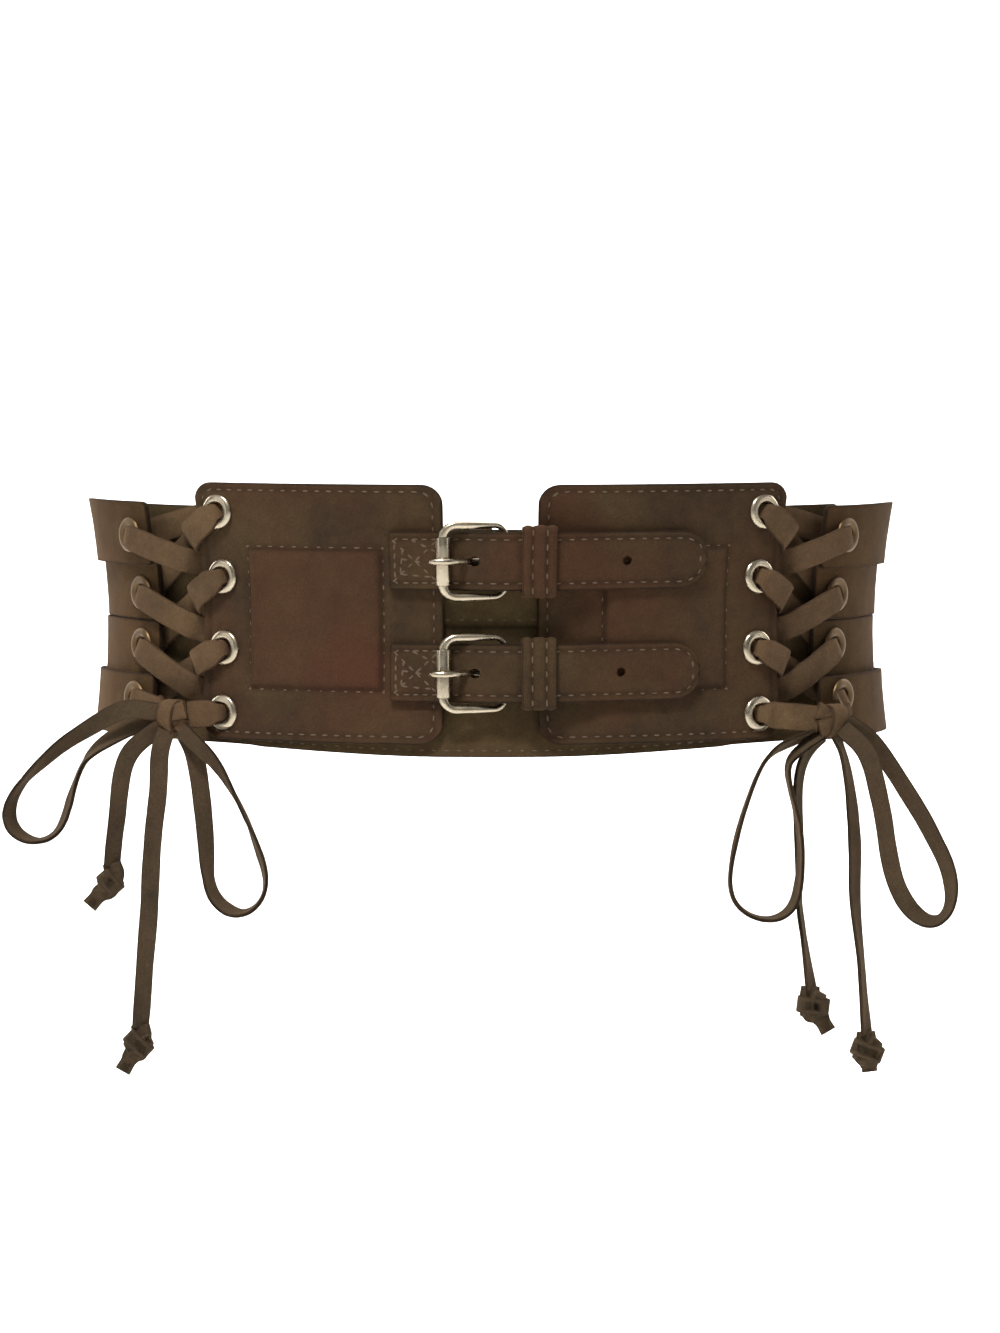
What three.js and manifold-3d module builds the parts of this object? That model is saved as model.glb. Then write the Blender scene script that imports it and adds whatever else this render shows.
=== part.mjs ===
// A wide suede corset belt, fastened as worn: two stitched panels joined by two buckled straps in front,
// four straps round the back, and a lacing with a bow at each side.
// Millimetres, +Z up, the wearer's front towards -Y. The origin is the centre of the waist opening at
// mid-height of the back straps.
// Most shapes are laid out flat first: u is the way along the waist from the centre front (+ to +X),
// z the height and lift the distance outward from the waist form. waistPoint bends them round the waist.

import * as THREE from "three";
import { mergeVertices } from "three/addons/utils/BufferGeometryUtils.js";
import Module from "manifold-3d";

const wasm = await Module();
wasm.setup();

// Waist form: an oval of four arcs, a little wider above and below its narrowest height
const WAIST_HALF_WIDTH = 125;
const WAIST_HALF_DEPTH = 93;
const SIDE_ARC_RADIUS = 70;
const NARROWEST_Z = -6;
const FLARE_OUT = 4;
const FLARE_RISE = 44;

// Leather thicknesses, and the gap that touching pieces keep
const GAP = 0.3;
const BASE_THICKNESS = 2;
const PANEL_THICKNESS = 2.6;
const STRAP_THICKNESS = 1.9;
const BILLET_THICKNESS = 2;
const CHAPE_THICKNESS = 1.4;
const KEEPER_THICKNESS = 1.4;

// Front panels and the layer behind them
const PANEL_SPACING = 29;
const PANEL_WIDTH = 83;
const PANEL_HEIGHT = 83.4;
const PANEL_BOTTOM_Z = -37;
const PANEL_TOP_CORNER = 6.5;
const PANEL_BOTTOM_CORNER = 7.5;
const BASE_END_BEYOND_STRAP = 16;
const BASE_CENTRE_TOP_BELOW_PANEL = 14.5;
const BASE_END_TOP_BELOW_PANEL = 8;
const BASE_CENTRE_HEM = 4;
const BASE_END_HEM = 1.8;
const BASE_CORNER = 4;
const BASE_DIP_LENGTH = 9;
const LACE_ROOM = 0.8;

// Eyelets, all alike
const EYELET_HOLE_RADIUS = 2.7;
const EYELET_WALL = 0.5;
const EYELET_BAND = 3.05;
const EYELET_FRONT_RISE = 1.2;
const EYELET_BACK_BAND = 1.5;
const EYELET_BACK_RISE = 0.5;
const EYELET_SIDES = 12;

// The suede thong of the lacing and the bows
const THONG_WIDTH = 6;
const THONG_THICKNESS = 1.3;
const THONG_BUNCHED_WIDTH = 4;
const THONG_BUNCHED_THICKNESS = 1.9;

// Back straps, with the height of each at its left and right ends. They run lower towards the centre
// back, because nothing of the inside of the back shows above the front in the photo.
const STRAP_END_CORNER = 2;
const STRAP_STAGGER = 0.4;
const BACK_DIP = 14.5;
const BACK_DIP_START_U = 145;
const BACK_STRAPS = [
  { name: "back_strap_1", topLeft: 39.5, topRight: 38.2, bottomLeft: 18.4, bottomRight: 17.4, outer: true },
  { name: "back_strap_2", topLeft: 20.2, topRight: 19.6, bottomLeft: 0.2, bottomRight: 0.4, proud: "right" },
  { name: "back_strap_3", topLeft: -0.6, topRight: -0.4, bottomLeft: -19.4, bottomRight: -19.6, proud: "left" },
  { name: "back_strap_4", topLeft: -17.4, topRight: -18, bottomLeft: -38, bottomRight: -38.6, outer: true },
];

// The two laced sides: eyelet heights from the top down, and how the bow sits
const PANEL_EYELET_INSET = 8.8;
const SIDES = [
  {
    name: "left",
    sign: -1,
    lacedGap: 20,
    strapEyeletInset: 8.8,
    panelEyeletZ: [36.9, 15.8, -7.4, -28.4],
    strapEyeletZ: [28.4, 9.2, -8.2, -25.6],
    bowOffset: -2.7,
    bowZ: -30,
    bowLift: 10.6,
  },
  {
    name: "right",
    sign: 1,
    lacedGap: 16,
    strapEyeletInset: 10.4,
    panelEyeletZ: [37, 15.9, -7.4, -28.8],
    strapEyeletZ: [28.4, 8.8, -8, -24.8],
    bowOffset: 6.2,
    bowZ: -31.8,
    bowLift: 13.2,
  },
];

// How far a thong has come across the laced gap, from the strap's end at 0 to the panel's edge at 1,
// and its height between the space behind the leather at 0 and the front of the eyelet it leaves at 1:
// over for the thong that leaves a strap, under for the one that leaves a panel
const GAP_RUN = [
  { across: 0, over: 0.93, under: 0.05 },
  { across: 0.18, over: 0.9, under: 0.08 },
  { across: 0.42, over: 0.76, under: 0.13 },
  { across: 0.7, over: 0.52, under: 0.2 },
  { across: 0.79, over: 0.26, under: 0.5 },
  { across: 0.87, over: 0.1, under: 0.78 },
  { across: 0.94, over: 0.05, under: 0.9 },
  { across: 1, over: 0.03, under: 0.95 },
];

// The bend of a thong out of an eyelet: distance from the hole's middle as a share of the eyelet's
// outer radius, height left to rise as a share of the hole's radius, and share of its full width
const EYELET_BEND = [
  { out: 0.13, below: 0.24, spread: 0 },
  { out: 0.4, below: -0.02, spread: 0.1 },
  { out: 0.73, below: 0, spread: 1 },
];

// Buckled straps
const ROWS = [
  { name: "upper", z: 22, punchedHoleU: 41.7, tipU: 68.2 },
  { name: "lower", z: -13.8, punchedHoleU: 40.2, tipU: 66.4 },
];
const BILLET_START_BEFORE_EDGE = 16.5;
const BILLET_WIDTH = 18.8;
const BILLET_TIP_LENGTH = 8.5;
const BILLET_TIP_BLUNT = 0.2;
const BILLET_START_CORNER = 1.2;
const PUNCHED_HOLE_RADIUS = 1.5;
const BUCKLE_ROD_RADIUS = 1.5;
const BUCKLE_SIDE_CLEARANCE = 0.6;
const BUCKLE_LENGTH = 22.6;
const BUCKLE_FRONT_CORNER = 2.8;
const BUCKLE_HEEL_CORNER = 2.4;
const ROLLER_RADIUS = 2.5;
const ROLLER_LENGTH = 16.8;
const ROLLER_OVERHANG = 2.1;
const PRONG_RADIUS = 1.25;
const PRONG_EYE_RADIUS = 3;
const PRONG_EYE_WIDTH = 3;
const PRONG_OVERHANG = 0.8;
const KEEPER_WIDTH = 9.6;
const KEEPER_AFTER_HEEL = 5.1;
const CHAPE_WIDTH = 18.2;
const CHAPE_TAB = 8;

// Bows: half sizes of the knot along the waist, outward and up
const BOW_KNOT = { along: 7.8, out: 4, up: 5.2 };
const KNOT_POWER = 2.5;
const TAIL_KNOT = { along: 4.3, out: 3.6, up: 5 };

// Routes of the free thongs, hand-picked points from the middle of the bow's knot: x, y, z and the
// turn of the flat thong in degrees, 0 with its edge to the front and 90 with its face to the front
const FREE_THONGS = {
  left_outer_loop: [
    [-9, -2, 2.4, 80], [-14, -1.6, 2.6, 86], [-20.5, -1, 0, 80], [-28, 0, -4.5, 62], [-36, 1, -9.5, 45],
    [-43, 1.5, -15.5, 30], [-48.5, 2, -21, 16], [-52.5, 2, -27, 24], [-54, 2, -32.5, 36],
    [-52.5, 2, -37.5, 36], [-48.5, 1.5, -40.5, 24], [-43.5, 1, -41.5, 6], [-38.5, 1, -39.3, 10],
    [-35.5, 1, -34.5, 20], [-33.5, 1.5, -28, 24], [-31.5, 2, -21.5, 12], [-29, 2.5, -15.5, 6],
    [-25, 3, -11, 26], [-20, 3.2, -7.6, 44], [-15, 3.2, -4.6, 60], [-9.8, 3, -2.2, 72],
  ],
  left_inner_loop: [
    [5.2, -1, -7.2, 84], [6.6, -2.2, -10, 86], [8.4, -3, -17, 86], [9.5, -3.2, -25, 82], [10.5, -3.4, -35, 70],
    [11, -3.6, -43, 56], [11.5, -3.8, -52.5, 30], [13.5, -4, -59, 34], [18, -4.2, -63.4, 28],
    [23, -4.4, -64.8, 8], [27.5, -4.6, -62.4, 4], [30.4, -4.8, -57.5, 6], [30.6, -5, -51.5, 14],
    [29, -5.4, -45.5, 20], [27, -5.8, -39.5, 16], [24.5, -6.2, -33, 4], [21, -6.8, -26, 8],
    [17.5, -7.4, -19.5, 20], [14.2, -8.2, -14.4, 38], [10.8, -9, -10.8, 56], [5.4, -7.6, -6.6, 66],
  ],
  left_short_tail: [
    [-6.6, -1.8, -6, 70], [-10, -1.6, -8, 74], [-13.6, -1.2, -11.4, 76], [-16, -1, -17, 76],
    [-17.2, -0.6, -24, 74], [-18, -0.4, -32, 66], [-19.4, -0.2, -42, 58], [-20, 0, -49.2, 52],
  ],
  left_long_tail: [
    [-2.6, -3.2, -6.6, 86], [-3.8, -3.4, -11, 88], [-4.4, -3.4, -24, 86], [-6, -3.2, -37, 84],
    [-7, -3, -50, 82], [-7.6, -2.8, -63, 78], [-9, -2.6, -79, 72], [-10, -2.4, -93, 64],
    [-10.8, -2.4, -102, 56],
  ],
  right_inner_loop: [
    [-8.6, -4.4, -4.8, 20], [-12.6, -7.4, -6, 26], [-17.2, -9.6, -7.6, 22], [-21.2, -10, -10.8, 8],
    [-24.8, -10.6, -17, 2], [-28.3, -10, -26.5, 0], [-31.3, -9.6, -36.5, 0], [-33.2, -9.4, -47, 0],
    [-33.4, -9.2, -54.5, 0], [-31.3, -9, -59.8, 0], [-26.8, -9, -63.2, 2], [-21.3, -9, -64.6, 4],
    [-16.3, -9.2, -63.4, 12], [-12.8, -9.4, -60, 18], [-11.2, -9.6, -54.5, 20], [-10.2, -9.8, -46, 14],
    [-10.4, -10, -37.5, 8], [-12.2, -10, -28, 6], [-14.2, -10, -20, 6], [-14.8, -9.6, -13, 10],
    [-11.4, -9, -9.6, 24], [-6.8, -6, -7.4, 34],
  ],
  right_first_tail: [
    [-4, 0.4, -6.6, 40], [-7.6, -0.6, -9.6, 26], [-10.2, -1.6, -15, 16], [-11.2, -2, -24, 14],
    [-10.9, -2.2, -35.5, 16], [-10.8, -2.2, -49, 10], [-10.6, -2.2, -60.5, 4], [-9.3, -2.4, -70, 2],
    [-7.8, -2.8, -80, 4], [-6.6, -2.6, -88, 8],
  ],
  right_second_tail: [
    [1.6, -1.2, -6.4, 20], [3.2, -1.4, -9.6, 10], [5, -1.8, -17, 14], [6.6, -2.2, -28, 22],
    [7.4, -2.4, -41, 28], [7.4, -2.4, -54.5, 26], [8.2, -2.2, -66, 12], [9.7, -2, -79, 6],
    [10.7, -1.8, -92, 10], [11.6, -1.8, -103, 16],
  ],
  right_outer_loop: [
    [7, -5.4, -5, 74], [10.4, -6, -9, 80], [12.9, -6.2, -15, 86], [14.7, -6, -22.5, 88], [16.6, -5.6, -31, 88],
    [18.2, -5.2, -42, 86], [20.2, -4.8, -51, 80], [23.2, -4.4, -58, 72], [27.2, -4, -63.2, 58],
    [31.9, -3.4, -66, 38], [36.6, -2.8, -65, 18], [39.2, -2.2, -60, 26], [39.3, -1.8, -53.5, 42],
    [37.6, -1.4, -46.5, 52], [34.2, -1, -39.5, 56], [30.2, -0.8, -32, 60], [25.2, -0.6, -24, 62],
    [20.4, -0.6, -16.5, 66], [16.2, -0.8, -10.4, 70], [12.2, -1, -5.2, 72], [8.9, -1.4, -1, 74],
  ],
};

// The knot at the end of each tail: which way its cut end points from the knot, x and z
const TAIL_ENDS = {
  left_short_tail: { along: -0.66, up: -0.75, stub: 5 },
  left_long_tail: { along: -0.5, up: -0.86, stub: 5 },
  right_first_tail: { along: 0.5, up: -0.86, stub: 6 },
  right_second_tail: { along: 0.12, up: -0.99, stub: 2 },
};

// Mesh fineness
const SHEET_STEP = 14;
const ROD_SIDES = 8;
const THONG_STEP = 11;

// Sizes that follow from the ones above
const BASE_OUT = BASE_THICKNESS;
const PANEL_IN = BASE_OUT + GAP;
const PANEL_OUT = PANEL_IN + PANEL_THICKNESS;
const PANEL_INNER_U = PANEL_SPACING / 2;
const PANEL_OUTER_U = PANEL_INNER_U + PANEL_WIDTH;
const PANEL_TOP_Z = PANEL_BOTTOM_Z + PANEL_HEIGHT;
const EYELET_RADIUS = EYELET_HOLE_RADIUS + EYELET_BAND;
const LEATHER_HOLE_RADIUS = EYELET_HOLE_RADIUS + EYELET_WALL + GAP;
const BEHIND_LIFT = PANEL_IN - GAP - EYELET_BACK_RISE - GAP - THONG_THICKNESS / 2;
const BASE_END_DROP = BASE_OUT - (BEHIND_LIFT - THONG_THICKNESS / 2 - LACE_ROOM);
const OUTER_STRAP_IN = PANEL_IN + STRAP_STAGGER + STRAP_THICKNESS + GAP;

const FRONT_BAR_U = -PANEL_INNER_U - ROLLER_OVERHANG + ROLLER_RADIUS;
const HEEL_BAR_U = FRONT_BAR_U - ROLLER_RADIUS + BUCKLE_LENGTH - BUCKLE_ROD_RADIUS;
const CHAPE_BEND_RADIUS = BUCKLE_ROD_RADIUS + GAP + CHAPE_THICKNESS / 2;
const HEEL_LIFT = BASE_OUT + GAP + CHAPE_THICKNESS + GAP + BUCKLE_ROD_RADIUS;
const BILLET_ON_PANEL = PANEL_OUT + GAP;
const FRONT_BAR_LIFT = BILLET_ON_PANEL + BILLET_THICKNESS + GAP + ROLLER_RADIUS;
const KEEPER_IN = PANEL_OUT + GAP;
const CHAPE_OVER_KEEPER = KEEPER_IN + KEEPER_THICKNESS + GAP;
const BILLET_OVER_KEEPER = CHAPE_OVER_KEEPER + CHAPE_THICKNESS + GAP;
const BILLET_OVER_HEEL = HEEL_LIFT + BUCKLE_ROD_RADIUS + GAP + CHAPE_THICKNESS + GAP;
const KEEPER_U = HEEL_BAR_U + KEEPER_AFTER_HEEL + KEEPER_WIDTH / 2;
const KEEPER_END_U = KEEPER_U + KEEPER_WIDTH / 2;

// Materials
function finish(color, roughness, metalness) {
  return new THREE.MeshStandardMaterial({ color, roughness, metalness });
}
const PANEL_SUEDE = finish("#50382a", 0.95, 0);
const STRAP_SUEDE = finish("#5c4835", 0.95, 0);
const BASE_SUEDE = finish("#483a28", 0.95, 0);
const THONG_SUEDE = finish("#54402f", 0.95, 0);
const NICKEL = finish("#cfc3aa", 0.3, 1);

// The waist form
const FRONT_ARC_RADIUS =
  ((WAIST_HALF_WIDTH - SIDE_ARC_RADIUS) ** 2 + WAIST_HALF_DEPTH ** 2 - SIDE_ARC_RADIUS ** 2) /
  (2 * (WAIST_HALF_DEPTH - SIDE_ARC_RADIUS));
const ARC_TURN = Math.atan(
  (WAIST_HALF_WIDTH - SIDE_ARC_RADIUS) / (FRONT_ARC_RADIUS - WAIST_HALF_DEPTH),
);
const FRONT_ARC_LENGTH = FRONT_ARC_RADIUS * ARC_TURN;
const SIDE_ARC_LENGTH = SIDE_ARC_RADIUS * (Math.PI - 2 * ARC_TURN);
const HALF_GIRTH = 2 * FRONT_ARC_LENGTH + SIDE_ARC_LENGTH;

function flareAt(z) {
  return FLARE_OUT * ((z - NARROWEST_Z) / FLARE_RISE) ** 2;
}

function waistPoint(u, z, lift) {
  const past = u > HALF_GIRTH ? u - 2 * HALF_GIRTH : u;
  const side = past < 0 ? -1 : 1;
  const along = Math.abs(past);
  const out = lift + flareAt(z);
  const arcCentreY = FRONT_ARC_RADIUS - WAIST_HALF_DEPTH;
  if (along <= FRONT_ARC_LENGTH) {
    const turn = along / FRONT_ARC_RADIUS;
    const radius = FRONT_ARC_RADIUS + out;
    return new THREE.Vector3(side * radius * Math.sin(turn), arcCentreY - radius * Math.cos(turn), z);
  }
  if (along <= FRONT_ARC_LENGTH + SIDE_ARC_LENGTH) {
    const turn = ARC_TURN + (along - FRONT_ARC_LENGTH) / SIDE_ARC_RADIUS;
    const radius = SIDE_ARC_RADIUS + out;
    const x = WAIST_HALF_WIDTH - SIDE_ARC_RADIUS + radius * Math.sin(turn);
    return new THREE.Vector3(side * x, -radius * Math.cos(turn), z);
  }
  const turn = Math.PI - ARC_TURN + (along - FRONT_ARC_LENGTH - SIDE_ARC_LENGTH) / FRONT_ARC_RADIUS;
  const radius = FRONT_ARC_RADIUS + out;
  return new THREE.Vector3(side * radius * Math.sin(turn), -arcCentreY - radius * Math.cos(turn), z);
}

// Flat layout uses vectors with x = u, y = lift, z = z
function bendVector(flat) {
  return waistPoint(flat.x, flat.z, flat.y);
}

function bent(geometry) {
  const position = geometry.attributes.position;
  for (let i = 0; i < position.count; i += 1) {
    const point = waistPoint(position.getX(i), position.getZ(i), position.getY(i));
    position.setXYZ(i, point.x, point.y, point.z);
  }
  return geometry;
}

// Closed meshes
function signedVolume(positions, index) {
  let sum = 0;
  const at = (i) => new THREE.Vector3().fromArray(positions, 3 * index[i]);
  for (let i = 0; i < index.length; i += 3) {
    sum += at(i).dot(at(i + 1).cross(at(i + 2)));
  }
  return sum;
}

function closedBody(geometry) {
  geometry.deleteAttribute("normal");
  geometry.deleteAttribute("uv");
  const body = mergeVertices(geometry, 1e-3);
  const index = Array.from(body.index.array);
  const kept = [];
  for (let i = 0; i < index.length; i += 3) {
    const [a, b, c] = index.slice(i, i + 3);
    if (a !== b && b !== c && c !== a) {
      kept.push(a, b, c);
    }
  }
  if (signedVolume(body.attributes.position.array, kept) < 0) {
    kept.reverse();
  }
  body.setIndex(kept);
  return body;
}

function toManifold(geometry) {
  const body = closedBody(geometry);
  return new wasm.Manifold(
    new wasm.Mesh({
      numProp: 3,
      vertProperties: new Float32Array(body.attributes.position.array),
      triVerts: new Uint32Array(body.index.array),
    }),
  );
}

function fromManifold(solid) {
  const mesh = solid.getMesh();
  const geometry = new THREE.BufferGeometry();
  geometry.setAttribute("position", new THREE.BufferAttribute(new Float32Array(mesh.vertProperties), 3));
  geometry.setIndex(Array.from(mesh.triVerts));
  return geometry;
}

function cut(geometry, cutters) {
  let solid = toManifold(geometry);
  for (const cutter of cutters) {
    solid = solid.subtract(toManifold(cutter));
  }
  return fromManifold(solid);
}

function joined(first, second) {
  return fromManifold(toManifold(first).add(toManifold(second)));
}

// Rings of equal count joined by quads: capped at both ends, or closed on itself
function loft(rings, closed = false) {
  const count = rings[0].length;
  const positions = rings.flat().flatMap((point) => point.toArray());
  const index = [];
  const spans = closed ? rings.length : rings.length - 1;
  for (let i = 0; i < spans; i += 1) {
    const here = i * count;
    const next = ((i + 1) % rings.length) * count;
    for (let j = 0; j < count; j += 1) {
      const k = (j + 1) % count;
      index.push(here + j, next + j, next + k, here + j, next + k, here + k);
    }
  }
  if (!closed) {
    const last = (rings.length - 1) * count;
    for (let j = 0; j < count / 2 - 1; j += 1) {
      const a = j;
      const b = j + 1;
      const c = count - 2 - j;
      const d = count - 1 - j;
      index.push(a, b, c, a, c, d);
      index.push(last + a, last + c, last + b, last + a, last + d, last + c);
    }
  }
  const geometry = new THREE.BufferGeometry();
  geometry.setAttribute("position", new THREE.Float32BufferAttribute(positions, 3));
  geometry.setIndex(index);
  return geometry;
}

// Stops from start to end about a step apart, with the extra ones that an outline needs
function stops(start, end, step, extra = []) {
  const spans = Math.max(1, Math.round((end - start) / step));
  const even = Array.from({ length: spans + 1 }, (_, i) => start + ((end - start) * i) / spans);
  const clear = even.filter((u) => extra.every((other) => Math.abs(u - other) > step / 4));
  return [...clear, ...extra].sort((a, b) => a - b);
}

// Stops round a corner of a given radius, measured from the end of the piece
function cornerStops(radius) {
  return [0, Math.PI / 5, Math.PI / 2.6, Math.PI / 2].map((turn) => radius * (1 - Math.cos(turn)));
}

// How much a rounded corner takes off the edge at a distance from the end
function cornerCut(radius, distance) {
  if (distance >= radius) {
    return 0;
  }
  return radius - Math.sqrt(radius ** 2 - (radius - distance) ** 2);
}

// A piece of leather laid on the waist, between an upper and a lower edge
function leather({ columns, top, bottom, inner, thickness, rows = 2 }) {
  const rings = columns.map((u) => {
    const ring = [];
    for (let row = 0; row <= rows; row += 1) {
      const z = THREE.MathUtils.lerp(bottom(u), top(u), row / rows);
      ring.push(waistPoint(u, z, inner(u) + thickness));
    }
    for (let row = rows; row >= 0; row -= 1) {
      const z = THREE.MathUtils.lerp(bottom(u), top(u), row / rows);
      ring.push(waistPoint(u, z, inner(u)));
    }
    return ring;
  });
  return loft(rings);
}

// A round or slotted cutter through the leather
function cutterThrough(u, z, radius, fromLift, toLift, slot = 0) {
  const outline = new THREE.Shape();
  outline.absarc(slot / 2, 0, radius, -Math.PI / 2, Math.PI / 2);
  outline.absarc(-slot / 2, 0, radius, Math.PI / 2, (3 * Math.PI) / 2);
  const depth = toLift - fromLift;
  const cutter = new THREE.ExtrudeGeometry(outline, { depth, bevelEnabled: false, curveSegments: 3 });
  cutter.rotateX(Math.PI / 2);
  cutter.translate(u, toLift, z);
  return bent(cutter);
}

// Where things sit on a laced side
function strapEndU(side) {
  return PANEL_OUTER_U + side.lacedGap;
}

function panelEyeletAt(side, row) {
  return { u: side.sign * (PANEL_OUTER_U - PANEL_EYELET_INSET), z: side.panelEyeletZ[row] };
}

function strapEyeletAt(side, row) {
  return { u: side.sign * (strapEndU(side) + side.strapEyeletInset), z: side.strapEyeletZ[row] };
}

function atEnds(u, left, right) {
  const reach = WAIST_HALF_WIDTH;
  const share = THREE.MathUtils.clamp((u + reach) / (2 * reach), 0, 1);
  return THREE.MathUtils.lerp(left, right, share);
}

// The back straps run past the back of the waist, so u goes on past half the girth
function backU(u) {
  return u > HALF_GIRTH ? u - 2 * HALF_GIRTH : u;
}

function strapIn(strap, u) {
  if (strap.outer) {
    return OUTER_STRAP_IN;
  }
  const leftShare = strap.proud === "left" ? STRAP_STAGGER : 0;
  const rightShare = strap.proud === "right" ? STRAP_STAGGER : 0;
  return PANEL_IN + atEnds(u, leftShare, rightShare);
}

// How much lower the straps run towards the centre back than at their ends
function backDip(u) {
  return BACK_DIP * THREE.MathUtils.smoothstep(Math.abs(u), BACK_DIP_START_U, HALF_GIRTH);
}

function makeStrap(strap, row) {
  const [left, right] = SIDES;
  const start = strapEndU(right);
  const end = 2 * HALF_GIRTH - strapEndU(left);
  const corner = cornerStops(STRAP_END_CORNER);
  const around = stops(start, end, SHEET_STEP, [
    ...corner.map((distance) => start + distance),
    ...corner.map((distance) => end - distance),
  ]);
  const rounding = (u) => cornerCut(STRAP_END_CORNER, Math.min(u - start, end - u));
  const rings = leather({
    columns: around,
    top: (u) => atEnds(backU(u), strap.topLeft, strap.topRight) - backDip(backU(u)) - rounding(u),
    bottom: (u) => atEnds(backU(u), strap.bottomLeft, strap.bottomRight) - backDip(backU(u)) + rounding(u),
    inner: (u) => strapIn(strap, backU(u)),
    thickness: STRAP_THICKNESS,
  });
  const holes = SIDES.map((side) => {
    const { u, z } = strapEyeletAt(side, row);
    const inner = strapIn(strap, u);
    return cutterThrough(u, z, LEATHER_HOLE_RADIUS, inner - 1, inner + STRAP_THICKNESS + 1);
  });
  return cut(rings, holes);
}

function makePanel(side) {
  const near = side.sign * PANEL_INNER_U;
  const far = side.sign * PANEL_OUTER_U;
  const start = Math.min(near, far);
  const end = Math.max(near, far);
  const corners = [...cornerStops(PANEL_TOP_CORNER), ...cornerStops(PANEL_BOTTOM_CORNER).slice(1)];
  const columns = stops(start, end, SHEET_STEP, [
    ...corners.map((distance) => start + distance),
    ...corners.map((distance) => end - distance),
  ]);
  const fromEnd = (u) => Math.min(u - start, end - u);
  const panel = leather({
    columns,
    top: (u) => PANEL_TOP_Z - cornerCut(PANEL_TOP_CORNER, fromEnd(u)),
    bottom: (u) => PANEL_BOTTOM_Z + cornerCut(PANEL_BOTTOM_CORNER, fromEnd(u)),
    inner: () => PANEL_IN,
    thickness: PANEL_THICKNESS,
    rows: 4,
  });
  const holes = side.panelEyeletZ.map((_, row) => {
    const { u, z } = panelEyeletAt(side, row);
    return cutterThrough(u, z, LEATHER_HOLE_RADIUS, PANEL_IN - 1, PANEL_OUT + 1);
  });
  return cut(panel, holes);
}

function makeBase() {
  const [left, right] = SIDES;
  const start = -(strapEndU(left) + BASE_END_BEYOND_STRAP);
  const end = strapEndU(right) + BASE_END_BEYOND_STRAP;
  const dipEnd = PANEL_OUTER_U - PANEL_EYELET_INSET - EYELET_RADIUS;
  const dipStart = dipEnd - BASE_DIP_LENGTH;
  const corner = cornerStops(BASE_CORNER);
  const underPanel = stops(PANEL_INNER_U, PANEL_OUTER_U, SHEET_STEP, [dipStart, dipEnd]);
  const columns = [
    ...stops(start, -PANEL_OUTER_U, SHEET_STEP, corner.map((distance) => start + distance)).slice(0, -1),
    ...underPanel.map((u) => -u).reverse(),
    ...stops(-PANEL_INNER_U, PANEL_INNER_U, SHEET_STEP).slice(1, -1),
    ...underPanel,
    ...stops(PANEL_OUTER_U, end, SHEET_STEP, corner.map((distance) => end - distance)).slice(1),
  ];
  const endShare = (u) => THREE.MathUtils.smoothstep(Math.abs(u), PANEL_INNER_U, PANEL_OUTER_U);
  const rounding = (u) => cornerCut(BASE_CORNER, Math.min(u - start, end - u));
  const topBelow = (u) =>
    THREE.MathUtils.lerp(BASE_CENTRE_TOP_BELOW_PANEL, BASE_END_TOP_BELOW_PANEL, endShare(u));
  const hem = (u) => THREE.MathUtils.lerp(BASE_CENTRE_HEM, BASE_END_HEM, endShare(u));
  return leather({
    columns,
    top: (u) => PANEL_TOP_Z - topBelow(u) - rounding(u),
    bottom: (u) => PANEL_BOTTOM_Z - hem(u) + rounding(u),
    inner: (u) => -BASE_END_DROP * THREE.MathUtils.smoothstep(Math.abs(u), dipStart, dipEnd),
    thickness: BASE_THICKNESS,
    rows: 4,
  });
}

// An eyelet: one closed profile turned round the hole's middle
function makeEyelet({ u, z }, inLift, outLift) {
  const hole = EYELET_HOLE_RADIUS;
  const wall = hole + EYELET_WALL;
  const front = outLift + GAP;
  const back = inLift - GAP;
  const profile = [
    [hole, back - EYELET_BACK_RISE / 2],
    [wall + EYELET_BACK_BAND - EYELET_WALL, back - EYELET_BACK_RISE],
    [wall, back],
    [wall, front],
    [hole + EYELET_BAND, front],
    [hole + EYELET_BAND * 0.5, front + EYELET_FRONT_RISE],
    [hole, front + EYELET_FRONT_RISE * 0.3],
    [hole, back - EYELET_BACK_RISE / 2],
  ].map(([radius, height]) => new THREE.Vector2(radius, height));
  const eyelet = new THREE.LatheGeometry(profile, EYELET_SIDES);
  eyelet.translate(u, 0, z);
  return closedBody(bent(eyelet));
}

// A flat thong along stations that give its middle, width, thickness and the way its width lies
function thongRings(stations) {
  const lasting = stations.length - 1;
  return stations.map((station, i) => {
    const before = stations[Math.max(0, i - 1)].middle;
    const after = stations[Math.min(lasting, i + 1)].middle;
    const tangent = after.clone().sub(before).normalize();
    const width = station.across.clone().addScaledVector(tangent, -station.across.dot(tangent)).normalize();
    const normal = tangent.clone().cross(width);
    const corner = (side, face) =>
      station.middle
        .clone()
        .addScaledVector(width, (side * station.width) / 2)
        .addScaledVector(normal, (face * station.thickness) / 2);
    return [corner(1, 1), corner(-1, 1), corner(-1, -1), corner(1, -1)];
  });
}

// The height at which a thong lies over the front of an eyelet set in leather with this outer face
function overEyelet(outLift) {
  return outLift + GAP + EYELET_FRONT_RISE + GAP + THONG_THICKNESS / 2;
}

function heading(from, to) {
  return new THREE.Vector2(to.u - from.u, to.z - from.z).normalize();
}

function acrossOf(way) {
  return new THREE.Vector3(-way.y, 0, way.x);
}

function thongStation(hole, way, distance, lift, across, spread) {
  return {
    middle: new THREE.Vector3(hole.u + way.x * distance, lift, hole.z + way.y * distance),
    across,
    width: THREE.MathUtils.lerp(THONG_BUNCHED_WIDTH, THONG_WIDTH, spread),
    thickness: THREE.MathUtils.lerp(THONG_BUNCHED_THICKNESS, THONG_THICKNESS, spread),
  };
}

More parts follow.
